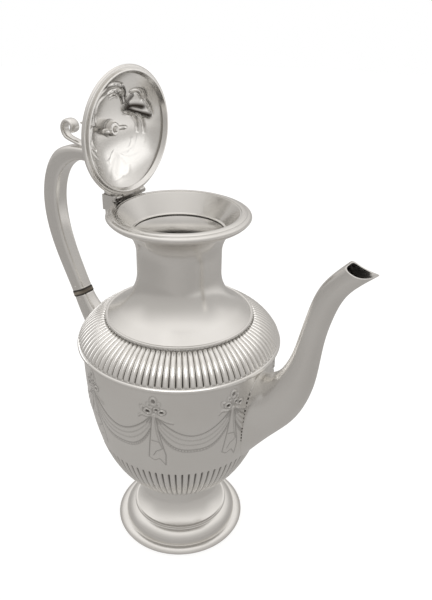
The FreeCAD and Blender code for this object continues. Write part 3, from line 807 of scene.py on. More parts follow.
@dataclass
class Bowl:
    """Raised bowl with narrow flutes at its base and a chased band of bows and swags."""

    radius: float = BOWL_RADIUS
    bottom: float = COLLAR_TOP
    top: float = BOWL_TOP
    under: float = 2.4
    fullness: float = 2.4
    wall: float = 1.2
    flutes: int = 80
    flute_top: float = 77.0
    flute_depth: float = 0.75
    flute_width: float = 0.13
    lobe_swell: float = 0.35
    bows: int = 8
    first_bow: float = 22.5
    knot_level: float = 124.4
    ribbon: float = 0.5
    rows: int = 290
    columns: int = 960

    def side(self, inset: float, rows: int) -> np.ndarray:
        """Side of the bowl as a superellipse, from its floor to its top edge.

        Args:
            inset: How far the side is moved in.
            rows: Points along the side, evenly spaced.

        Returns:
            Radius and height of each point.
        """
        radius, depth = self.radius - inset, self.top - self.bottom + self.under - inset
        power = 2.0 / self.fullness
        first = math.acos(((self.top - self.bottom - inset) / depth) ** (1.0 / power))
        angles = np.linspace(first, math.pi / 2.0, 1500)
        fine = np.stack([radius * np.sin(angles) ** power,
                         self.top - depth * np.maximum(np.cos(angles), 0.0) ** power], axis=1)
        marks = np.concatenate([[0.0], np.cumsum(np.hypot(*np.diff(fine, axis=0).T))])
        even = np.linspace(0.0, marks[-1], rows)
        return np.stack([np.interp(even, marks, fine[:, 0]), np.interp(even, marks, fine[:, 1])], axis=1)

    def flute(self, side: np.ndarray, degrees: np.ndarray) -> tuple[np.ndarray, np.ndarray]:
        """Relief of the flutes.

        Args:
            side: Radius and height of each row.
            degrees: Azimuth of each column.

        Returns:
            Height and darkening of each row and column, in the grooves and darker towards the top of the
            flutes.
        """
        pitch = 360.0 / self.flutes
        across = np.abs((degrees % pitch) / pitch - 0.5) * -1.0 + 0.5
        groove = np.exp(-((0.5 - across) / self.flute_width) ** 2)
        swell = np.sin(math.pi * across)
        level = side[:, 1]
        fade = np.clip((self.flute_top - level) / 1.2, 0.0, 1.0)
        narrow = np.clip((side[:, 0] - 14.0) / 30.0, 0.25, 1.0)
        strength = (fade * narrow)[:, None]
        height = strength * (self.lobe_swell * (1.0 - swell) - self.flute_depth * groove)
        dark = np.clip(0.55 + 0.4 * (level - 60.0) / 17.0, 0.45, 0.95)
        return height, (fade * dark)[:, None] * groove

    def swag(self, sheet: Relief, half: float) -> None:
        """Draw the drapery swags on one sector.

        Args:
            sheet: Relief of the sector, its middle on a bow.
            half: Half width of the sector.
        """
        reach = np.abs(sheet.across)
        share = np.clip((half - reach) / half, 0.0, 1.0)
        falls = [(110.0, 15.5, 1.9), (106.6, 17.4, 2.2), (103.2, 18.6, 2.5), (99.2, 21.0, 3.0)]
        upper = falls[0][0] + falls[0][1] * share ** falls[0][2]
        lower = falls[-1][0] + falls[-1][1] * share ** falls[-1][2]
        rise = np.clip((sheet.up - lower) / 1.2, 0.0, 1.0) * np.clip((upper - sheet.up) / 1.2, 0.0, 1.0)
        body = rise * np.clip((reach - 1.5) / 3.0, 0.0, 1.0)
        sheet.height += 0.3 * body
        for number, (level, lift, power) in enumerate(falls):
            path = []
            for step in range(25):
                x = half - (half - 2.2) * step / 24.0
                path.append((x, level + lift * ((half - x) / half) ** power))
            for side in (1.0, -1.0):
                line = [(side * x, y) for x, y in path]
                sheet.stroke(line, -0.2, 0.42, 0.45 if number in (0, 3) else 0.22)
                sheet.stroke([(x, y - 0.9) for x, y in line], 0.12, 0.5)
                if number == 3:
                    self.fringe(sheet, line)

    @staticmethod
    def fringe(sheet: Relief, line: Sequence[Pair]) -> None:
        """Punch the beaded fringe along the lower edge of a swag.

        Args:
            sheet: Relief of the sector.
            line: Lower edge of the swag.
        """
        beads = spline(line, 15)
        for x, y in beads:
            sheet.pit((x, y - 1.0), (0.42, 0.5), 0.22, 0.6)
        sheet.stroke([(x, y - 1.9) for x, y in line], -0.16, 0.4, 0.3)

    def tails(self, sheet: Relief) -> None:
        """Draw the ribbon tails that hang below a bow.

        Args:
            sheet: Relief of one sector, which the tails are drawn on.
        """
        knot = self.knot_level
        left = [(-1.0, knot - 1.6), (-2.6, 108.0), (-4.5, 92.0)]
        right = [(1.0, knot - 1.6), (3.4, 108.0), (6.2, 95.0), (5.8, 86.2)]
        hem = [(-4.5, 92.0), (-1.2, 89.6), (2.2, 91.6), (5.8, 86.2)]
        fold = [(-1.8, 106.0), (2.6, 105.0), (4.4, 100.0), (0.4, 97.6), (-1.4, 94.0)]
        inner = [(0.4, knot - 3.0), (1.0, 114.0), (2.6, 105.0)]
        width = np.interp(sheet.up, [86.0, 92.0, knot], [3.0, 4.3, 0.8])
        inside = np.clip((width - np.abs(sheet.across)) / 0.9, 0.0, 1.0)
        ends = np.clip((knot - sheet.up) / 2.0, 0.0, 1.0) * np.clip((sheet.up - 89.5) / 1.5, 0.0, 1.0)
        sheet.height += 0.2 * inside * ends
        for path, shade in ((left, 0.5), (right, 0.5), (hem, 0.42), (fold, 0.42), (inner, 0.3)):
            sheet.stroke(path, -0.18, 0.36, shade)

    def bow(self, sheet: Relief) -> None:
        """Draw one ribbon bow with its knot, loops and ends.

        Args:
            sheet: Relief of one sector, which the bow is drawn on.
        """
        knot = self.knot_level
        for side in (-1.0, 1.0):
            for start, end, drop in ((1.6, 4.2, 5.6), (2.2, 6.6, 6.4), (1.2, 2.4, 6.0)):
                sheet.stroke([(side * start, knot - 1.6), (side * end, knot - drop)], -0.3, 0.42, 0.5)
        ends = (
            [(-1.0, knot + 0.6), (-3.8, knot - 0.8), (-6.6, knot), (-8.8, knot - 1.6)],
            [(1.2, knot - 0.8), (4.6, knot - 2.2), (7.4, knot - 3.6), (11.0, knot - 4.4)],
        )
        for end in ends:
            path = [tuple(point) for point in spline(end, 14)]
            sheet.stroke([(x, y - 1.0) for x, y in path], -0.2, 0.4, 0.4)
            sheet.stroke(path, 0.5, 0.6)
        # Each loop's middle over the knot, half sizes, tilt, height and dark hollow.
        loops = (
            ((-2.3, 6.4), (0.9, 1.3), 35.0, 0.5, 0.35),
            ((2.3, 7.0), (0.9, 1.3), -35.0, 0.5, 0.35),
            ((-5.8, 3.8), (1.0, 1.6), 35.0, 0.5, 0.4),
            ((0.0, 9.4), (1.5, 2.0), 0.0, 0.8, 0.6),
            ((-3.3, 2.6), (1.8, 1.4), -18.0, 0.8, 0.9),
            ((1.7, 4.0), (1.3, 1.2), 10.0, 0.8, 0.9),
            ((4.6, 2.4), (1.6, 1.3), 12.0, 0.8, 0.9),
        )
        for (x, rise), half, tilt, height, shade in loops:
            sheet.loop((x, knot + rise), half, tilt, height, self.ribbon, shade)
        sheet.stroke([(0.0, knot + 1.6), (0.0, knot + 6.6)], 0.4, 0.5, 0.2)
        sheet.loop((0.0, knot), (0.6, 0.7), 0.0, 0.9, 0.6, 0.3)

    def build(self, dresser: Dresser) -> None:
        """Build and dress the bowl.

        Args:
            dresser: Gives each piece its material and body.
        """
        outer, inner = self.side(0.0, self.rows), self.side(self.wall, 40)
        degrees = np.arange(self.columns) * 360.0 / self.columns
        height, recess = self.flute(outer, degrees)
        sector = 360.0 / self.bows
        half = math.radians(sector / 2.0) * self.radius
        count = self.columns // self.bows
        across = (np.arange(count) / count - 0.5) * 2.0 * half
        sheet = Relief(*np.meshgrid(across, outer[:, 1]))
        self.swag(sheet, half)
        self.tails(sheet)
        self.bow(sheet)
        band = np.clip((outer[:, 1] - self.flute_top - 2.0) / 2.0, 0.0, 1.0)[:, None]
        shift = int(round((self.first_bow - sector / 2.0) / 360.0 * self.columns))
        chased, chased_dark = [np.roll(np.tile(layer * band, (1, self.bows)), shift, axis=1)
                           for layer in (sheet.height, sheet.recess)]
        piece = relief_shell("bowl_fluted_and_chased", outer, inner, height + chased,
                             np.maximum(recess, chased_dark))
        dresser.dress(piece, "bowl")


@dataclass
class Shoulder:
    """Girdle moulding, lobed shoulder and the thin ring above it."""

    bowl_radius: float = BOWL_RADIUS
    bowl_top: float = BOWL_TOP
    girdle_radius: float = 61.4
    girdle_top: float = 144.0
    girdle_bulge: float = 0.35
    girdle_edge: float = 0.25
    outer_radius: float = 60.2
    top: float = 158.2
    top_radius: float = 43.4
    bulge: float = 2.3
    wall: float = 1.2
    land: float = 2.09
    ring_radius: float = 44.3
    ring_top: float = RING_TOP
    neck_radius: float = NECK_FOOT
    neck_land: float = 1.92
    lobes: int = 100
    first_groove: float = -1.2
    crest: float = 0.7
    groove: float = 1.05
    lobe_power: float = 3.4
    # Share of the way from a crest to its groove at which the painted shade begins.
    dark_from: float = 0.82
    # Plain land at the inner ends, and the length of the rounded tips in half pitches.
    tip_land: float = 0.5
    tip_reach: float = 1.35
    # Lengths over which the relief fades at the girdle and at the inner ends.
    fades: Pair = (0.6, 0.4)
    # Painted shade of the grooves: everywhere, next to the girdle and round the inner ends, where it also
    # stands for a dark reflection.
    groove_painted_shade: Triple = (0.4, 0.6, 0.6)
    rows: int = 44
    columns: int = 1200

    def girdle(self) -> list[Pair]:
        """Outline of the girdle: a half round between two fillets.

        Returns:
            Closed outline of radius and level pairs for the lathe.
        """
        inner = self.bowl_radius - self.wall
        middle = (self.bowl_top + self.girdle_top) / 2.0
        low = (self.bowl_radius + 1.1, self.bowl_top + 0.9)
        high = (self.outer_radius, self.girdle_top - 0.5)
        widest = (self.girdle_radius, middle)
        return softened([(inner, self.bowl_top), (self.bowl_radius + 1.0, self.bowl_top), low]
                        + arc(low, widest, -self.girdle_bulge, 6)[1:]
                        + arc(widest, high, -self.girdle_bulge, 6)[1:]
                        + [(self.outer_radius, self.girdle_top), (inner, self.girdle_top)],
                        self.girdle_edge)

    def ring(self) -> list[Pair]:
        """Outline of the thin ring at the inner ends of the lobes.

        Returns:
            Closed outline of radius and level pairs for the lathe.
        """
        inner = self.neck_radius - self.neck_land
        bulge = self.neck_radius + 0.4 - self.ring_radius
        return [(inner, self.top)] + arc((self.top_radius, self.top), (self.neck_radius, self.ring_top),
                                         bulge, 8) + [(inner, self.ring_top)]

    def lobed(self) -> bpy.types.Object:
        """Shell of convex lobes with rounded inner ends.

        Returns:
            The shell, with the painted shade of its grooves as an attribute.
        """
        outer = np.array(arc((self.outer_radius, self.girdle_top), (self.top_radius, self.top),
                             -self.bulge, self.rows))
        inner = np.array(arc((self.outer_radius - self.wall, self.girdle_top),
                             (self.top_radius - self.land, self.top), -self.bulge, 12))
        degrees = np.arange(self.columns) * 360.0 / self.columns
        pitch = 360.0 / self.lobes
        across = np.abs(((degrees - self.first_groove) % pitch) / pitch - 0.5) * 2.0
        marks = np.concatenate([[0.0], np.cumsum(np.hypot(*np.diff(outer, axis=0).T))])
        to_end = marks[-1] - marks
        size = np.radians(pitch) * outer[:, 0] / 2.0
        tip = np.clip(1.0 - (to_end - self.tip_land) / (self.tip_reach * size), 0.0, 1.0)[:, None]
        reach = np.sqrt(across[None, :] ** 2 + tip ** 2)
        depth = np.clip((size / size[0])[:, None], 0.6, 1.0)
        lobe = np.clip(1.0 - reach ** self.lobe_power, 0.0, 1.0)
        height = depth * ((self.crest + self.groove) * lobe - self.groove)
        ends = np.clip(np.minimum(marks / self.fades[0], to_end / self.fades[1]), 0.0, 1.0)[:, None]
        height *= ends
        low = np.clip(1.0 - marks / (0.5 * marks[-1]), 0.0, 1.0)[:, None]
        base, by_girdle, by_tip = self.groove_painted_shade
        # Painted shade in the grooves, also standing for the dark reflection round the inner ends.
        dark = np.clip(base + by_girdle * low + by_tip * tip, 0.0, 1.0) * ends
        shade = np.clip((reach - self.dark_from) / (1.0 - self.dark_from), 0.0, 1.0) * dark
        return relief_shell("shoulder_lobed", outer, inner, height, shade)

    def build(self, dresser: Dresser) -> None:
        """Build and dress the shoulder's pieces.

        Args:
            dresser: Gives each piece its material and body.
        """
        dresser.dress(lathe("girdle", self.girdle(), FINE_TURN), "girdle_moulding")
        dresser.dress(self.lobed(), "shoulder")
        dresser.dress(lathe("shoulder_wire", self.ring(), FINE_TURN), "shoulder_ring")


@dataclass
class Neck:
    """Plain neck from the ring to its flare, with the rim moulding and the seat inside the mouth."""

    foot_radius: float = NECK_FOOT
    foot_level: float = RING_TOP
    cone_angle: float = 35.0
    sweep: float = 26.0
    radius: float = 24.5
    sweep_top: float = 186.0085
    flare_bottom: float = 198.3085
    flare_sweep: float = 20.1
    top: float = 216.3085
    wall: float = 1.1
    rim_radius: float = 40.8
    rim_top: float = 222.4085
    rim_opening: float = 34.9
    rim_foot: float = 1.0
    bead_rise: float = 3.3
    flat_width: float = 4.2
    rim_edge: float = 0.2
    seat_gap: float = 0.4
    seat_width: float = 0.8
    seat_depth: float = 12.2
    throat: float = 25.9
    seat_wall: float = 0.9
    seat_clear: float = 0.3
    ledge_width: float = 1.3
    seat_edge: float = 0.25

    def flare(self, level: float, inset: float) -> float:
        """Radius of the flare at a level, on its outside or moved in by the wall.

        Args:
            level: Level above the table.
            inset: Distance inward from the outside.

        Returns:
            Radius at that level.
        """
        sweep = self.flare_sweep + inset
        rise = level - self.flare_bottom
        return self.radius + self.flare_sweep - math.sqrt(sweep * sweep - rise * rise)

    def side(self, inset: float) -> list[Pair]:
        """Side of the neck from its cone to the end of its flare.

        Args:
            inset: Distance inward from the outside, 0 for the outside itself.

        Returns:
            Radius and level pairs from the lowest to the highest.
        """
        slope = math.radians(self.cone_angle)
        points = [(self.foot_radius - inset / math.sin(slope), self.foot_level)]
        sweep, centre = self.sweep + inset, self.radius + self.sweep
        for step in range(25):
            angle = math.radians(270.0 - self.cone_angle
                                 + (self.cone_angle - 90.0) * step / 24.0)
            points.append((centre + sweep * math.cos(angle), self.sweep_top + sweep * math.sin(angle)))
        for step in range(19):
            level = self.flare_bottom + (self.top - self.flare_bottom) * step / 18.0
            points.append((self.flare(level, inset), level))
        return points

    def rim(self) -> list[Pair]:
        """Outline of the rim moulding: a bead, a fillet line and a flat.

        Returns:
            Closed outline of radius and level pairs for the lathe.
        """
        seat = (self.flare(self.top, 0.0) + self.rim_foot, self.top)
        widest = (self.rim_radius, self.top + self.bead_rise)
        shelf = (self.rim_opening + self.flat_width, self.rim_top - self.rim_foot)
        crest = (self.rim_opening, self.rim_top)
        lip = (shelf[0] - 0.9, shelf[1] + 0.15)
        return softened([(self.rim_opening, self.top)] + arc(seat, widest, -self.rim_foot / 2.0, 8)
                        + arc(widest, shelf, -self.rim_foot / 2.0, 8)[1:] + [lip]
                        + arc((lip[0], lip[1] + 0.3), crest, -self.rim_foot / 4.0, 6), self.rim_edge)

    def seat(self) -> list[Pair]:
        """Outline of the seat ring inside the mouth, with its ledge and throat.

        Returns:
            Closed outline of radius and level pairs for the lathe.
        """
        top = self.rim_top - self.seat_gap
        throat_top = self.rim_top - self.seat_depth + self.seat_wall
        throat_low = self.rim_top - self.seat_depth - self.seat_wall / 2.0
        outside = self.wall + self.seat_clear
        back = [(self.flare(level, outside), level) for level in np.linspace(throat_low, self.top, 12)]
        front = [(self.rim_opening, top), (self.rim_opening - self.seat_width, top),
                 (self.throat + self.ledge_width, throat_top), (self.throat, throat_top - 0.1),
                 (self.throat, throat_low)]
        return softened(front + back + [(self.rim_opening, self.top + self.seat_wall)],
                        self.seat_edge)

    def build(self, dresser: Dresser) -> None:
        """Build and dress the neck's pieces.

        Args:
            dresser: Gives each piece its material and body.
        """
        dresser.dress(lathe("neck_plain", self.side(0.0) + self.side(self.wall)[::-1], FINE_TURN), "neck")
        dresser.dress(lathe("rim", self.rim(), FINE_TURN), "rim_moulding")
        dresser.dress(lathe("mouth_seat", self.seat(), FINE_TURN), "mouth_bezel")


@dataclass
class Spout:
    """Hollow S-curved spout with a flat back, a flowing root and a scooped lip."""

    bowl_radius: float = BOWL_RADIUS
    bowl_top: float = BOWL_TOP
    wall: float = 1.0
    lip_back: Pair = (44.0, 77.7)
    lip_tip: Pair = (59.5, 75.7)
    lip_dip: float = 2.2
    ring_points: int = 72
    rings: int = 84
    sharp: float = 32.0
    seam_radius: float = 0.4
    seam_points: int = 10
    seam_dark: Pair = (92.0, 131.0)
    seam_dash: float = 2.6

    def stations(self) -> list[tuple[float, ...]]:
        """Upper edge, under edge and width of each station, out and up from the bowl's top edge.

        Returns:
            Upper x and z, under x and z and width of each station, from root to lip.
        """
        return [
            (-8.4, -3.2, -7.9, -64.9, 27.2), (0.1, -2.6, 11.4, -39.4, 26.0),
            (6.1, -0.6, 23.1, -23.9, 23.0), (11.1, 3.6, 30.2, -6.9, 20.4),
            (17.8, 14.9, 33.4, 9.6, 16.2), (22.6, 31.4, 35.4, 28.8, 13.1),
            (26.5, 48.1, 38.7, 44.7, 12.8), (33.1, 65.6, 44.3, 59.2, 12.8),
            (43.8, 78.3, 52.2, 68.9, 12.8), (52.1, 87.1, 61.1, 77.1, 13.2)]

    def tube(self, inset: float) -> np.ndarray:
        """Rings of the tube, moved in by the wall for its inside.

        Args:
            inset: How far the side is moved in.

        Returns:
            Points of each ring.
        """
        angles = full_turn(self.ring_points)
        up, side = np.cos(angles), np.sin(angles)
        rings = []
        for number, row in enumerate(spline(self.stations(), self.rings)):
            share = number / self.rings
            high = np.array([self.bowl_radius + row[0], self.bowl_top + row[1]])
            low = np.array([self.bowl_radius + row[2], self.bowl_top + row[3]])
            height = float(np.linalg.norm(high - low))
            # The back turns from round at the root to nearly flat, and the underside stays round.
            square = 2.0 + 1.7 * min(1.0, max(0.0, (share - 0.22) / 0.2))
            power = np.where(up > 0.0, 2.0 / square, 2.0 / 2.1)
            rings.append(section((high + low) / 2.0, (high - low) / height,
                                 squared(up, power) * (height / 2.0 - inset),
                                 squared(side, power) * (row[4] / 2.0 - inset)))
        return np.array(rings)

    def lip_cutter(self) -> bpy.types.Object:
        """Prism that holds everything above the scooped lip.

        Returns:
            The prism, for cutting only.
        """
        back = (self.bowl_radius + self.lip_back[0], self.bowl_top + self.lip_back[1])
        tip = (self.bowl_radius + self.lip_tip[0], self.bowl_top + self.lip_tip[1])
        reach = self.lip_tip[0] - self.lip_back[0]
        outline = arc(back, tip, -self.lip_dip, 16) + [
            (tip[0] + reach, tip[1]), (tip[0] + reach, tip[1] + 2.0 * reach),
            (back[0], tip[1] + 2.0 * reach)]
        near = np.array([(x, -reach, z) for x, z in outline])
        far = near + np.array([0.0, 2.0 * reach, 0.0])
        return sweep("lip_cutter", np.stack([near, far]))

    def seam(self) -> bpy.types.Object:
        """Bead of solder round the root, dark in dashes where the polishing did not reach.

        Returns:
            The bead, with the dark of its dashes as an attribute.
        """
        rings = self.tube(0.0)
        side = Bowl().side(0.0, 400)
        outside = np.hypot(rings[..., 0], rings[..., 1]) - np.interp(rings[..., 2], side[:, 1], side[:, 0])
        points = []
        for column in range(self.ring_points):
            after = int(np.argmax(outside[:, column] > 0.0))
            inner, outer = outside[after - 1, column], outside[after, column]
            share = inner / (inner - outer)
            points.append(rings[after - 1, column] * (1.0 - share) + rings[after, column] * share)
        line = spline(points + points[:1], 360)[:-1]
        along = np.roll(line, -1, axis=0) - np.roll(line, 1, axis=0)
        along /= np.linalg.norm(along, axis=1)[:, None]
        out = line * np.array([1.0, 1.0, 0.0])
        out /= np.linalg.norm(out, axis=1)[:, None]
        across = np.cross(along, out)
        angles = full_turn(self.seam_points)[None, :, None]
        bead = line[:, None, :] + self.seam_radius * (np.cos(angles) * out[:, None, :]
                                                      + np.sin(angles) * across[:, None, :])
        low, high = self.seam_dark
        dashes = np.clip(0.75 + 0.9 * np.sin(line[:, 2] * 2.0 * math.pi / self.seam_dash), 0.0, 1.0)
        reach = np.clip(np.minimum(line[:, 2] - low, high - line[:, 2]) / 4.0, 0.0, 1.0)
        return mesh_piece("spout_solder_seam", bead.reshape(-1, 3),
                          grid(len(line), self.seam_points, True, True),
                          np.repeat(reach * dashes, self.seam_points))

    def build(self, dresser: Dresser) -> None:
        """Build and dress the spout.

        Args:
            dresser: Gives each piece its material and body.
        """
        piece = sweep("spout_tube", self.tube(0.0), sharp=self.sharp)
        inside = sweep("spout_inside", self.tube(self.wall))
        cut_away(piece, [self.lip_cutter(), inside])
        piece.data.set_sharp_from_angle(angle=math.radians(self.sharp))
        dresser.dress(piece, "spout")
        dresser.dress(self.seam(), "spout")


@dataclass
class Handle:
    """Looped handle of rounded-square section with its sockets, heat breaks, pins and scroll."""

    post_x: float = -49.0
    hinge_level: float = HINGE_LEVEL
    squareness: float = 3.6
    socket_length: float = 19.0
    break_length: float = 3.8
    break_proud: float = 0.3
    pin_radius: float = 0.9
    pin_proud: float = 0.3
    pin_setback: float = 2.3
    pin_depth: float = 1.2
    rim_line: float = 0.7
    rim_dark: float = 0.9
    ring_points: int = 64
    # Rounding of a stretch's ends: lengths from the end with the drop there.
    end_round: tuple[Pair, ...] = ((0.0, 0.35), (0.12, 0.1), (0.35, 0.0))
    # Thumb scroll: its eye, the curl's first and last radius, and how far it turns.
    eye_x: float = -79.5
    eye_rise: float = 32.0
    curl: Pair = (6.6, 1.9)
    curl_turn: float = 342.0

    @staticmethod
    def slope(points: np.ndarray, marks: Sequence[float], place: int, turn: float) -> np.ndarray:
        """Slope of a line at one of its points, as long as that of a parabola through its neighbours.

        Args:
            points: Points of the line.
            marks: Length along the line at each point.
            place: Number of the point.
            turn: Direction of the line there, in degrees.

        Returns:
            The slope in X and Z. Like the solid's, its length is a sum of parts.
        """
        first = min(max(place - 1, 0), len(points) - 3)
        curve = np.polyfit(marks[first:first + 3], points[first:first + 3], 2)
        rate = 2.0 * curve[0] * marks[place] + curve[1]
        way = np.array([math.cos(math.radians(turn)), math.sin(math.radians(turn))])
        return way * np.abs(rate).sum() / np.abs(way).sum()

    def line(self) -> tuple[np.ndarray, np.ndarray, list[float], np.ndarray]:
        """Centre line of the handle.

        Returns:
            Points, slopes, marks along the line, and width with thickness at each point.
        """
        post, level = self.post_x, self.hinge_level
        points = np.array([
            (post, level - 14.0), (post, level), (post - 18.6, level + 18.8), (-88.2, level + 11.6),
            (-98.6, level - 17.75), (-81.0, 150.6), (-51.4, 119.4)])
        turns = [90.0, 90.0, 180.0, 225.0, 270.0, 294.0, 338.0]
        marks = [0.0]
        for gap in np.hypot(*np.diff(points, axis=0).T):
            marks.append(marks[-1] + float(gap))
        slopes = np.array([self.slope(points, marks, place, turn) for place, turn in enumerate(turns)])
        sizes = np.array([(10.5, 6.4), (10.5, 6.4), (11.25, 8.2), (12.0, 12.0), (12.0, 12.0),
                          (10.8, 10.8), (15.0, 20.0)])
        return points, slopes, marks, sizes

    def at(self, mark: float) -> tuple[np.ndarray, np.ndarray, np.ndarray]:
        """Place, outward direction and size of the handle at a mark.

        Args:
            mark: Length along the centre line.

        Returns:
            Point, unit vector across the line, and width with thickness.
        """
        points, slopes, marks, sizes = self.line()
        place = min(max(int(np.searchsorted(marks, mark, "right")) - 1, 0), len(marks) - 2)
        gap = marks[place + 1] - marks[place]
        t = (mark - marks[place]) / gap
        ease = t * t * (3.0 - 2.0 * t)
        spot = ((1.0 - ease) * points[place] + ease * points[place + 1]
                + (t ** 3 - 2.0 * t * t + t) * gap * slopes[place]
                + (t ** 3 - t * t) * gap * slopes[place + 1])
        slope = ((6.0 * t * t - 6.0 * t) / gap * (points[place] - points[place + 1])
                 + (3.0 * t * t - 4.0 * t + 1.0) * slopes[place]
                 + (3.0 * t * t - 2.0 * t) * slopes[place + 1])
        slope /= np.hypot(*slope)
        return spot, np.array([-slope[1], slope[0]]), sizes[place] * (1.0 - ease) + sizes[place + 1] * ease

    def run(self, name: str, first: float, last: float, count: int, proud: float = 0.0,
            rim_shade: float = 0.0) -> bpy.types.Object:
        """Stretch of the handle between two marks, with buffed ends.

        Args:
            name: Name of the piece.
            first: Mark of its first end.
            last: Mark of its last end.
            count: Steps along it.
            proud: How far it stands out over the handle's own size.
            rim_shade: Dark line at both ends.

        Returns:
            The closed stretch.
        """
        angles, power = full_turn(self.ring_points), 2.0 / self.squareness
        over, beside = squared(np.cos(angles), power), squared(np.sin(angles), power)
        step = (last - first) / count
        marks = [(first + along, inset) for along, inset in self.end_round]
        marks += [(first + step * number, 0.0) for number in range(1, count)]
        marks += [(last - along, inset) for along, inset in reversed(self.end_round)]
        rings, shade = [], []
        for mark, inset in marks:
            spot, across, (width, thickness) = self.at(mark)
            tall, wide = thickness / 2.0 + proud - inset, width / 2.0 + proud - inset
            rings.append(section(spot, across, over * tall, beside * wide))
            edge = min(mark - first, last - mark) < self.rim_line
            shade.append(np.full(self.ring_points, rim_shade if edge else 0.0))
        return sweep(name, np.array(rings), np.array(shade))

    def pins(self, marks: Sequence[float]) -> bpy.types.Object:
        """Domed pin heads on both sides of the handle at the given marks.

        Args:
            marks: Distances along the handle from its upper end.

        Returns:
            All pin heads as one piece.
        """
        outline = [(0.0, self.pin_proud), (0.5, self.pin_proud * 0.9), (0.8, self.pin_proud * 0.5),
                   (self.pin_radius, 0.0), (self.pin_radius, -self.pin_depth)]
        around = full_turn(20)
        size = len(outline) * len(around)
        faces = grid(len(outline), len(around), False, True) + [tuple(range(size - len(around), size))]
        heads = []
        for mark in marks:
            spot, _, (width, _) = self.at(mark)
            for side in (1.0, -1.0):
                head = [(spot[0] + r * math.cos(a), side * (width / 2.0 + rise), spot[1] + r * math.sin(a))
                        for r, rise in outline for a in around]
                heads.append((np.array(head), faces))
        return mesh_piece("heat_break_pins", *joined(heads))

    def scroll(self) -> bpy.types.Object:
        """Curled thumb rest with a rounded strap that swells to a ball at its eye.

        Returns:
            The curl as one piece.
        """
        # X, Z, half thickness and half width of the strap, from the grip to the eye.
        strap = [(-65.5, 246.7, 0.7, 2.6), (-72.5, 248.4, 1.2, 3.0)]
        for share in np.arange(13) / 12.0:
            radius = self.curl[0] + (self.curl[1] - self.curl[0]) * share
            angle = math.radians(270.0 - self.curl_turn * share)
            strap.append((self.eye_x + radius * math.cos(angle),
                          self.hinge_level + self.eye_rise + radius * math.sin(angle),
                          1.2 + 0.5 * share ** 3, 3.0 + 0.6 * share))
        line = spline(strap, 72)
        slope = np.gradient(line[:, :2], axis=0)
        slope /= np.linalg.norm(slope, axis=1)[:, None]
        angles = full_turn(28)
        over, beside = squared(np.cos(angles), 0.8), squared(np.sin(angles), 0.8)
        rings = []
        for number, (x, z, thick, wide) in enumerate(line):
            to_end = min(number, len(line) - 1 - number) / 5.0
            cap = math.sqrt(max(0.02, 1.0 - max(0.0, 1.0 - to_end) ** 2))
            across = np.array([-slope[number][1], slope[number][0]])
            rings.append(section((x, z), across, over * thick * cap, beside * wide * cap))
        return sweep("thumb_scroll_curl", np.array(rings), sharp=60.0)

    def build(self, dresser: Dresser) -> None:
        """Build and dress the handle's pieces.

        Args:
            dresser: Gives each piece its material and body.
        """
        marks = self.line()[2]
        upper, lower = self.socket_length, marks[-2]
        upper_end, lower_end = upper + self.break_length, lower + self.break_length
        dresser.dress(self.run("post_socket", 0.0, upper, 14), "upper_socket")
        dresser.dress(self.run("heat_break_upper", upper, upper_end, 6, self.break_proud, self.rim_dark),
                      "upper_insulator", slot=Slot.INSULATOR)
        dresser.dress(self.run("grip", upper_end, lower, 90), "handle_grip")
        dresser.dress(self.run("heat_break_lower", lower, lower_end, 6, self.break_proud, self.rim_dark),
                      "lower_insulator", slot=Slot.INSULATOR)
        dresser.dress(self.run("bowl_socket", lower_end, marks[-1], 30), "lower_socket")
        back = self.pin_setback
        dresser.dress(self.pins([upper - back, upper_end + back, lower - back, lower_end + back]),
                      "insulator_pins")
        dresser.dress(self.scroll(), "thumb_scroll")


@dataclass
class Hinge:
    """Barrel hinge behind the rim."""

    hinge_x: float = HINGE_X
    hinge_level: float = HINGE_LEVEL
    buff: float = 0.35

    def painted_gap_shade(self, piece: bpy.types.Object) -> None:
        """Paint shade low in front of the barrel, in the gap by the rim, heavier on the side towards -Y.

        Args:
            piece: Hinge piece that gets the painted shade as an attribute.
        """
        points = np.array([vertex.co for vertex in piece.data.vertices]) / MM
        ahead = np.clip((points[:, 0] - self.hinge_x - 0.3) / 0.6, 0.0, 1.0)
        below = np.clip((self.hinge_level + 1.0 - points[:, 2]) / 0.6, 0.0, 1.0)
        layer = piece.data.attributes.new(RECESS, "FLOAT", "POINT")
        # Painted shade, heavier on one side of the barrel than the other.
        side_shade = np.where(points[:, 1] < 0.0, 0.9, 0.45)
        layer.data.foreach_set("value", (ahead * below * side_shade).astype(np.float32))

    def build(self, dresser: Dresser) -> None:
        """Round the hinge's edges and dress its pieces.

        Args:
            dresser: Gives each piece its material and body.
        """
        for name, node, body in (("hinge_plate", "hinge_body_leaf", Body.POT),
                                 ("hinge_pin_ends", "hinge_pin", Body.POT),
                                 ("lid_hinge_knuckles", "lid_knuckles", Body.LID)):
            piece = rounded_copy(name, node, self.buff)
            settle(piece)
            self.painted_gap_shade(piece)
            dresser.dress(piece, node, body)


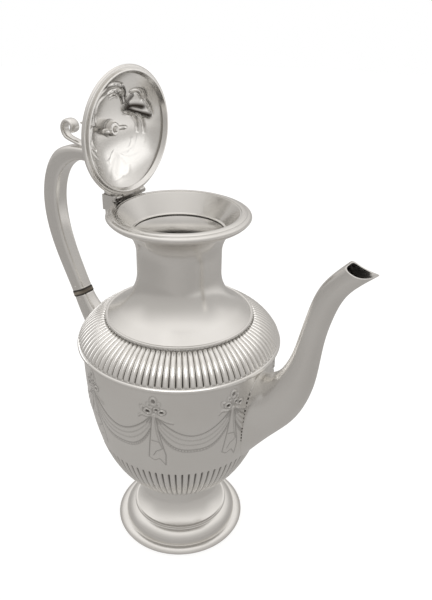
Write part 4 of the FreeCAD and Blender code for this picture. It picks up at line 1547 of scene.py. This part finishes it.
@dataclass
class Lid:
    """Domed lid with chased bows, its rim wire, locating flange, finial and wing nut.

    The pieces are made closed and then swung open about the hinge pin.
    """

    hinge_x: float = HINGE_X
    hinge_level: float = HINGE_LEVEL
    open_angle: float = 90.0
    edge: float = 222.8085
    wire_top: float = 225.2085
    radius: float = 35.7
    wire_width: float = 3.0
    wire_bulge: float = 0.2
    wire_edge: float = 0.3
    dome_inset: float = 0.9
    dome_rise: float = 13.8
    wall: float = 0.9
    flange_radius: float = 33.4
    flange_depth: float = 1.4
    flange_wall: float = 0.9
    fillet: float = 1.6
    notch_radius: float = 2.0
    notch_half: float = 13.5
    seat_radius: float = 4.6
    washer_radius: float = 4.9
    washer_height: float = 0.8
    washer_edge: float = 0.25
    stud_radius: float = 1.5
    stud_end: float = 1.4
    nut_height: float = 4.2
    nut_edge: float = 0.8
    finial_height: float = 21.6
    bows: int = 3
    first_bow: float = 45.0
    # Share of the drawn relief on each bow, and of the painted dark reflection on each half of one.
    bow_relief: tuple[float, ...] = (2.2, 0.1, 0.9)
    bow_painted_dark: tuple[float, ...] = (0.8, 1.0, 0.05, 0.1, 0.15, 0.25)
    # Radius at which the ornament is drawn to size.
    drawn_radius: float = 24.0
    # Radius at the plain middle and at the plain edge, each with the width of its fade.
    plain_middle: Pair = (8.0, 3.0)
    plain_edge: Pair = (33.6, 1.6)
    rows: int = 84
    columns: int = 480
    wire_columns: int = 256
    small_columns: int = 96
    screw_columns: int = 48

    def swing(self, piece: bpy.types.Object) -> bpy.types.Object:
        """Turn a closed piece to the open pose.

        Args:
            piece: Piece in the closed pose.

        Returns:
            The same piece, open.
        """
        pin = Vector((self.hinge_x * MM, 0.0, self.hinge_level * MM))
        turn = Matrix.Rotation(-math.radians(self.open_angle), 4, "Y")
        piece.data.transform(Matrix.Translation(pin) @ turn @ Matrix.Translation(-pin))
        return piece

    def dome_height(self, across: np.ndarray, inset: float) -> np.ndarray:
        """Height of the dome, a spherical cap, at a distance from its middle.

        Args:
            across: Distances from the middle.
            inset: Distance inward from the outside.

        Returns:
            Level of the dome at each distance.
        """
        radius, rise = self.radius - self.dome_inset - inset, self.dome_rise - inset
        sphere = (radius * radius + rise * rise) / (2.0 * rise)
        return self.wire_top + rise - sphere + np.sqrt(sphere * sphere - np.asarray(across) ** 2)

    def dome_side(self, inset: float, flat: float, rows: int) -> np.ndarray:
        """Side of the dome from its edge to the flat seat at its middle."""
        reach = np.linspace(self.radius - self.dome_inset - inset, flat, rows)
        return np.stack([reach, self.dome_height(reach, inset)], axis=1)

    def ornament(self, radii: np.ndarray) -> Relief:
        """Bow and swags of one sector of the dome.

        Args:
            radii: Distance of each row from the middle.

        Returns:
            The relief, its rows from the edge inwards.
        """
        count = self.columns // self.bows
        angles = (np.arange(count) / count - 0.5) * 2.0 * math.pi / self.bows
        across, up = np.meshgrid(angles, radii)
        sheet = Relief(across * self.drawn_radius, up)
        # Path, height and half width of each raised fold.
        ridges = (
            ([(-3.0, 24.0), (0.5, 27.2), (4.6, 27.0)], 0.9, 1.2),
            ([(4.6, 27.0), (10.0, 28.4), (14.5, 29.2)], 0.4, 0.6),
            ([(4.6, 13.6), (8.5, 15.0), (12.0, 18.6)], 0.7, 0.9),
            ([(11.5, 20.6), (18.0, 23.4), (25.0, 24.4)], 0.6, 0.8),
            ([(10.5, 16.8), (16.8, 19.6), (25.0, 20.2)], 0.6, 0.8),
            ([(-2.0, 17.0), (-7.0, 19.8), (-11.7, 19.6)], 0.6, 0.8),
            ([(-11.7, 18.4), (-16.0, 18.6), (-20.0, 17.6)], 0.6, 0.8),
            ([(-12.0, 21.8), (-18.0, 21.4), (-25.0, 20.6)], 0.4, 0.6),
            ([(-13.0, 24.6), (-19.0, 25.4), (-25.2, 26.0)], 0.35, 0.6),
        )
        for path, height, width in ridges:
            line = [tuple(point) for point in spline(path, 12)]
            sheet.stroke(line, height, width)
            # Painted shade in the groove under each raised fold.
            sheet.stroke([(x, y - 1.3 * width) for x, y in line], -0.2, 0.4, 0.25)
        # Path, half width and painted dark reflection of each sunk fold.
        rays = (
            ([(0.4, 16.0), (-1.0, 19.0), (-1.7, 22.6)], 1.3, 1.0),
            ([(1.0, 16.4), (5.0, 20.4), (8.8, 24.6)], 2.0, 1.0),
            ([(2.6, 15.6), (9.0, 19.4), (15.0, 27.4)], 1.4, 1.0),
            ([(-3.0, 16.8), (-7.0, 21.0), (-13.0, 24.4)], 0.5, 1.0),
            ([(-4.0, 16.2), (-9.0, 18.4), (-15.5, 20.2)], 0.5, 0.9),
        )
        for path, width, shade in rays:
            sheet.stroke([tuple(point) for point in spline(path, 10)], -0.5, width, shade)
        # Painted dark reflection in the hollow under the knot.
        sheet.pit((2.2, 15.8), (4.4, 2.2), 0.4, 1.0)
        # One raised crease crosses the dark folds, and their painted dark is taken off along it.
        crease, width = [(-1.0, 16.4), (0.6, 21.0)], 0.35
        sheet.stroke(crease, 0.6, width)
        sheet.recess *= 1.0 - 0.8 * np.exp(-(sheet.distance(crease) / width) ** 2)
        reach = self.drawn_radius * math.pi / self.bows
        sheet.height *= np.clip((reach - np.abs(sheet.across)) / 4.0, 0.0, 1.0)
        return sheet

    def dome(self) -> bpy.types.Object:
        """Chased dome, with the relief showing on both of its sides.

        Returns:
            The shell, with the painted dark reflection of its chasing as an attribute.
        """
        outer = self.dome_side(0.0, self.seat_radius, self.rows)
        inner = self.dome_side(self.wall, self.washer_radius, self.rows)
        sheet = self.ornament(outer[:, 0])
        sector, half = 360.0 / self.bows, self.columns // self.bows // 2
        shift = int(round((self.first_bow - sector / 2.0) / 360.0 * self.columns))
        from_middle = (outer[:, 0] - self.plain_middle[0]) / self.plain_middle[1]
        from_edge = (self.plain_edge[0] - outer[:, 0]) / self.plain_edge[1]
        calm = np.clip(np.minimum(from_middle, from_edge), 0.0, 1.0)[:, None]
        height = np.concatenate([sheet.height * calm * share for share in self.bow_relief], axis=1)
        # Painted dark reflection, heavier on some halves of the bows than on others.
        halves = (sheet.recess[:, :half], sheet.recess[:, half:])
        recess = np.concatenate([halves[number % 2] * calm * share
                                 for number, share in enumerate(self.bow_painted_dark)], axis=1)
        return relief_shell("lid_dome_chased", outer, inner, np.roll(height, shift, axis=1),
                            np.roll(recess, shift, axis=1), both=True)

    def wire(self) -> list[Pair]:
        """Outline of the rim wire.

        Returns:
            Closed outline of radius and level pairs for the lathe.
        """
        inner, middle = self.radius - self.wire_width, (self.edge + self.wire_top) / 2.0
        seam = self.radius - self.dome_inset
        return softened([(inner, self.edge)]
                        + arc((seam, self.edge), (self.radius, middle), -self.wire_bulge, 5)
                        + arc((self.radius, middle), (seam, self.wire_top), -self.wire_bulge, 5)[1:]
                        + [(inner, self.wire_top)], self.wire_edge)

    def flange(self) -> list[Pair]:
        """Outline of the short locating flange under the lid.

        Returns:
            Closed outline of radius and level pairs for the lathe.
        """
        outer, shelf = self.radius - self.wire_width, self.edge + self.flange_wall
        low, inner = self.edge - self.flange_depth, self.flange_radius - self.flange_wall
        return softened([(outer, shelf), (outer, self.edge), (self.flange_radius, self.edge),
                         (self.flange_radius, low), (inner, low), (inner - self.fillet, shelf)],
                        self.wire_edge)

    def notch(self) -> bpy.types.Object:
        """Room that the hinge barrel turns in, lid closed.

        Returns:
            The room as a solid, for cutting only.
        """
        angles = full_turn(48)
        rings = [[(self.hinge_x + self.notch_radius * math.cos(a), side * self.notch_half,
                   self.hinge_level + self.notch_radius * math.sin(a)) for a in angles]
                 for side in (-1.0, 1.0)]
        return sweep("hinge_notch", np.array(rings), np.ones((2, len(angles))))

    def finial(self) -> list[Pair]:
        """Outline of the finial: a disc, a knop and a slender bud.

        Returns:
            Closed outline of radius and level pairs for the lathe.
        """
        seat = float(self.dome_height(np.array(self.seat_radius), 0.0))
        disc = seat + self.washer_height
        knots = [(1.9, seat + 3.2), (4.8, seat + 7.5), (1.9, seat + 11.8), (3.0, seat + 14.8),
                 (1.5, seat + 18.2), (0.35, seat + self.finial_height - 0.1)]
        curve = [tuple(point) for point in spline(knots, 40)]
        return [(0.0, seat), (self.seat_radius, seat), (self.seat_radius, disc),
                (3.0, disc + 0.5), (2.2, disc + 1.4)] + curve + [(0.0, seat + self.finial_height)]

    def wing_nut(self, top: float) -> bpy.types.Object:
        """Cast wing nut: a tapered hub with two rounded ears.

        Args:
            top: Level of the face against the washer, lid closed.

        Returns:
            The nut, lid closed.
        """
        low, bore = top - self.nut_height, self.stud_radius
        outline = np.array(softened([(bore, top), (4.3, top), (4.5, top - 1.2), (3.9, top - 3.6), (3.2, low),
                                     (bore, low)], self.nut_edge))
        columns = 40
        hub = revolved(outline[:, :1], outline[:, 1:], columns)
        parts = [(hub, grid(len(outline), columns, True, True))]
        # Distance out, level, half thickness and half height along an ear.
        path = spline([(2.6, top - 2.2, 1.6, 1.6), (5.2, top - 2.8, 1.5, 2.0), (7.4, top - 3.6, 1.5, 2.3),
                       (8.8, top - 4.0, 1.0, 1.5), (9.4, top - 4.1, 0.2, 0.3)], 18)
        around = full_turn(24)
        size = len(path) * len(around)
        faces = grid(len(path), len(around), False, True)
        faces += [tuple(range(len(around))), tuple(range(size - len(around), size))]
        for side in (1.0, -1.0):
            ear = [(thick * math.cos(a), side * (out + 0.2 * tall * math.sin(a)), level + tall * math.sin(a))
                   for out, level, thick, tall in path for a in around]
            parts.append((np.array(ear), faces))
        return mesh_piece("wing_nut_cast", *joined(parts), sharp=50.0)

    def build(self, dresser: Dresser) -> None:
        """Build, open and dress the lid's pieces.

        Args:
            dresser: Gives each piece its material and body.
        """
        washer_top = float(self.dome_height(np.array(self.washer_radius), self.wall))
        nut_top = washer_top - self.washer_height
        seat = float(self.dome_height(np.array(self.seat_radius), 0.0))
        stud_low = nut_top - self.nut_height - self.stud_end
        washer = softened([(self.stud_radius, nut_top), (self.washer_radius, nut_top),
                           (self.washer_radius, washer_top), (self.stud_radius, washer_top)],
                          self.washer_edge)
        stud = [(0.0, stud_low), (1.1, stud_low), (self.stud_radius, stud_low + 0.5),
                (self.stud_radius, seat + 5.5), (0.0, seat + 5.5)]
        wire, dome = lathe("lid_wire", self.wire(), self.wire_columns), self.dome()
        for piece in (wire, dome):
            cut_away(piece, [self.notch()])
        pieces = (
            (wire, "lid_rim_wire"),
            (dome, "lid_dome"),
            (lathe("lid_locating_flange", self.flange(), self.wire_columns), "lid_flange"),
            (lathe("finial_turned", self.finial(), self.small_columns), "finial"),
            (lathe("finial_screw", stud, self.screw_columns), "finial_stud"),
            (lathe("finial_washer_disc", washer, self.small_columns), "finial_washer"),
            (self.wing_nut(nut_top), "wing_nut"),
        )
        for piece, node in pieces:
            dresser.dress(self.swing(piece), node, Body.LID)


@dataclass
class Studio:
    """White table, soft room, lamps and the camera."""

    floor_radius: float = 2200.0
    camera_place: Triple = (208.6, -276.8, 345.6)
    camera_turn: float = 37.0
    camera_yaw: float = -3.59
    camera_pitch: float = 27.34
    camera_roll: float = 1.36
    lens: float = 39.28
    sensor: float = 36.0
    facing: Triple = (0.602, -0.799, 0.0)
    rightward: Triple = (0.799, 0.602, 0.0)
    paper: str = "#B4B4B4"
    paper_glow: float = 0.74
    white: str = "#FFFFFF"
    # Metres to the left and right of the pot between which the table's greys lie.
    table_span: Pair = (-0.8, 1.2)
    # Share of the way to the camera between which the room turns from its back to its front.
    room_turn: Pair = (-0.25, 0.3)
    # Greys of the table in silver, from the left of the pot to its right.
    table_tones: tuple[Stop, ...] = (
        (0.0, "#A9A6A3"), (0.2, "#ABA8A5"), (0.3, "#B6B3B0"), (0.4, "#B4B1AE"),
        (0.52, "#ADAAA7"), (0.65, "#B4B1AE"), (0.76, "#D0CDCA"), (1.0, "#E8E5E2"))
    # Greys of the room in front of the pot, from the horizon to overhead.
    front_tones: tuple[Stop, ...] = (
        (0.0, "#BBB8B5"), (0.3, "#C2BFBC"), (0.45, "#C8C5C2"), (0.6, "#D7D4D1"),
        (0.72, "#E4E1DE"), (0.85, "#F8F5F2"), (0.93, "#FCF9F6"), (1.0, "#FCF9F6"))
    # Whites of the room behind the pot, from the horizon to overhead.
    back_tones: tuple[Stop, ...] = (
        (0.0, "#BBB8B5"), (0.2, "#C0BDBA"), (0.3, "#CECBC8"), (0.45, "#E3E0DD"),
        (0.6, "#EFECE9"), (0.72, "#FAF7F4"), (0.85, "#FFFCF9"), (1.0, "#FCF9F6"))

    def camera(self) -> None:
        """Set the camera to the photograph's view."""
        yaw, pitch = math.radians(self.camera_yaw), math.radians(self.camera_pitch)
        roll = math.radians(self.camera_roll)
        right = Vector((math.cos(yaw), math.sin(yaw), 0.0))
        ahead = Vector((-math.sin(yaw) * math.cos(pitch), math.cos(yaw) * math.cos(pitch), -math.sin(pitch)))
        above = right.cross(ahead)
        across = right * math.cos(roll) + above * math.sin(roll)
        upward = above * math.cos(roll) - right * math.sin(roll)
        turn = Matrix.Rotation(math.radians(self.camera_turn), 3, "Z")
        axes = Matrix([turn @ across, turn @ upward, turn @ -ahead]).transposed()
        data = bpy.data.cameras.new("camera")
        data.sensor_width = self.sensor
        data.lens = self.lens
        data.clip_start = 0.01
        eye = bpy.data.objects.new("camera", data)
        eye.matrix_world = Matrix.Translation(Vector(self.camera_place) * MM) @ axes.to_4x4()
        bpy.context.scene.collection.objects.link(eye)
        bpy.context.scene.camera = eye

    def floor(self) -> None:
        """Lay the white table, which shows a soft shadow and is greyer in the silver."""
        angles = full_turn(96)
        rim = np.stack([np.cos(angles), np.sin(angles), np.zeros_like(angles)], axis=1) * self.floor_radius
        floor = mesh_piece("table", rim, [tuple(range(len(rim)))])
        material = bpy.data.materials.new("table_paper_white")
        tree = blank(material)
        light = put(tree, "ShaderNodeLightPath")
        place = put(tree, "ShaderNodeNewGeometry").outputs["Position"]
        aside = put(tree, "ShaderNodeVectorMath", {0: place, 1: self.rightward}, operation="DOT_PRODUCT")
        share = put(tree, "ShaderNodeMapRange",
                    {"Value": aside.outputs["Value"], "From Min": self.table_span[0],
                     "From Max": self.table_span[1]})
        grey = ramp(put(tree, "ShaderNodeValToRGB", {"Fac": share.outputs["Result"]}), self.table_tones)
        mirrored = put(tree, "ShaderNodeEmission", {"Color": grey.outputs["Color"]})
        matt = put(tree, "ShaderNodeBsdfDiffuse", {"Color": linear(self.paper)})
        glow = put(tree, "ShaderNodeEmission", {"Color": linear(self.white), "Strength": self.paper_glow})
        paper = put(tree, "ShaderNodeAddShader", {0: matt.outputs[0], 1: glow.outputs[0]})
        seen = put(tree, "ShaderNodeMixShader", {0: light.outputs["Is Glossy Ray"], 1: paper.outputs[0],
                                                 2: mirrored.outputs[0]})
        put(tree, "ShaderNodeOutputMaterial", {"Surface": seen.outputs[0]})
        floor.data.materials.append(material)

    def room(self) -> None:
        """Surround the pot with a soft room: white overhead, grey towards the horizon."""
        world = bpy.data.worlds.new("soft_room")
        bpy.context.scene.world = world
        tree = blank(world)
        light = put(tree, "ShaderNodeLightPath")
        way = put(tree, "ShaderNodeTexCoord").outputs["Generated"]
        rise = put(tree, "ShaderNodeSeparateXYZ", {"Vector": way}).outputs["Z"]
        front = ramp(put(tree, "ShaderNodeValToRGB", {"Fac": rise}), self.front_tones)
        back = ramp(put(tree, "ShaderNodeValToRGB", {"Fac": rise}), self.back_tones)
        ahead = put(tree, "ShaderNodeVectorMath", {0: way, 1: self.facing}, operation="DOT_PRODUCT")
        share = put(tree, "ShaderNodeMapRange",
                    {"Value": ahead.outputs["Value"], "From Min": self.room_turn[0],
                     "From Max": self.room_turn[1]}, interpolation_type="SMOOTHSTEP")
        tone = put(tree, "ShaderNodeMix", {"Factor": share.outputs["Result"], "A": back.outputs["Color"],
                                           "B": front.outputs["Color"]}, data_type="RGBA")
        soft = put(tree, "ShaderNodeBackground", {"Color": tone.outputs["Result"], "Strength": 1.0})
        white = put(tree, "ShaderNodeBackground", {"Color": linear(self.white), "Strength": 1.0})
        seen = put(tree, "ShaderNodeMixShader", {0: light.outputs["Is Camera Ray"], 1: soft.outputs[0],
                                                 2: white.outputs[0]})
        put(tree, "ShaderNodeOutputWorld", {"Surface": seen.outputs[0]})

    @staticmethod
    def softbox(name: str, place: Triple, target: Triple, size: Pair, power: float) -> bpy.types.Object:
        """Hang a soft rectangular lamp.

        Args:
            name: Name of the lamp.
            place: Place of its middle in millimetres.
            target: Point that it faces.
            size: Its sides in millimetres.
            power: Power in watts.

        Returns:
            The lamp.
        """
        data = bpy.data.lights.new(name, "AREA")
        data.shape = "RECTANGLE"
        data.size, data.size_y = size[0] * MM, size[1] * MM
        data.energy = power
        lamp = bpy.data.objects.new(name, data)
        lamp.location = Vector(place) * MM
        lamp.rotation_euler = (Vector(place) - Vector(target)).to_track_quat("Z", "Y").to_euler()
        lamp.visible_camera = False
        bpy.context.scene.collection.objects.link(lamp)
        return lamp

    def reflectors(self) -> None:
        """Set white cards round the pot, each flagged off from all but the pieces it lights."""
        lid = ("lid_dome_chased", "lid_wire", "lid_locating_flange", "wing_nut_cast")
        shoulder = ("shoulder_lobed", "girdle")
        # Name, pieces, place, target, sides and watts of each card.
        cards = (
            ("upright_card", lid, (215.0, 146.0, 332.0), (-43.0, 9.0, 241.0), (400.0, 140.0), 0.13),
            ("lying_card", lid, (800.0, 450.0, 5.0), (800.0, 450.0, 500.0), (1500.0, 1500.0), 1.6),
            ("high_card", shoulder, (330.0, -440.0, 900.0), (0.0, 0.0, 150.0), (1000.0, 300.0), 1.2),
            ("side_card", shoulder, (-900.0, 140.0, 260.0), (0.0, 0.0, 150.0), (900.0, 320.0), 1.1),
        )
        for name, pieces, place, target, size, power in cards:
            lit = bpy.data.collections.new("lit_by_" + name)
            for piece in pieces:
                lit.objects.link(bpy.data.objects[piece])
            self.softbox(name, place, target, size, power).light_linking.receiver_collection = lit

    def build(self) -> None:
        """Build the table, the light and the camera."""
        self.floor()
        self.room()
        self.softbox("overhead_softbox", (-150.0, 100.0, 1100.0), (0.0, 0.0, 150.0), (700.0, 700.0), 0.2)
        self.reflectors()
        self.camera()


def main() -> None:
    """Build the pot piece by piece and the studio around it."""
    logging.basicConfig(level=logging.INFO, format="%(name)s %(message)s")
    bpy.context.scene.view_settings.view_transform = "Standard"
    dresser = Dresser(PolishedSilver().build(), OiledEbony().build())
    for assembly in (Foot(), Bowl(), Shoulder(), Neck(), Spout(), Handle(), Hinge(), Lid()):
        assembly.build(dresser)
    Studio().build()
    bpy.context.view_layer.update()


if __name__ == "__main__":
    main()
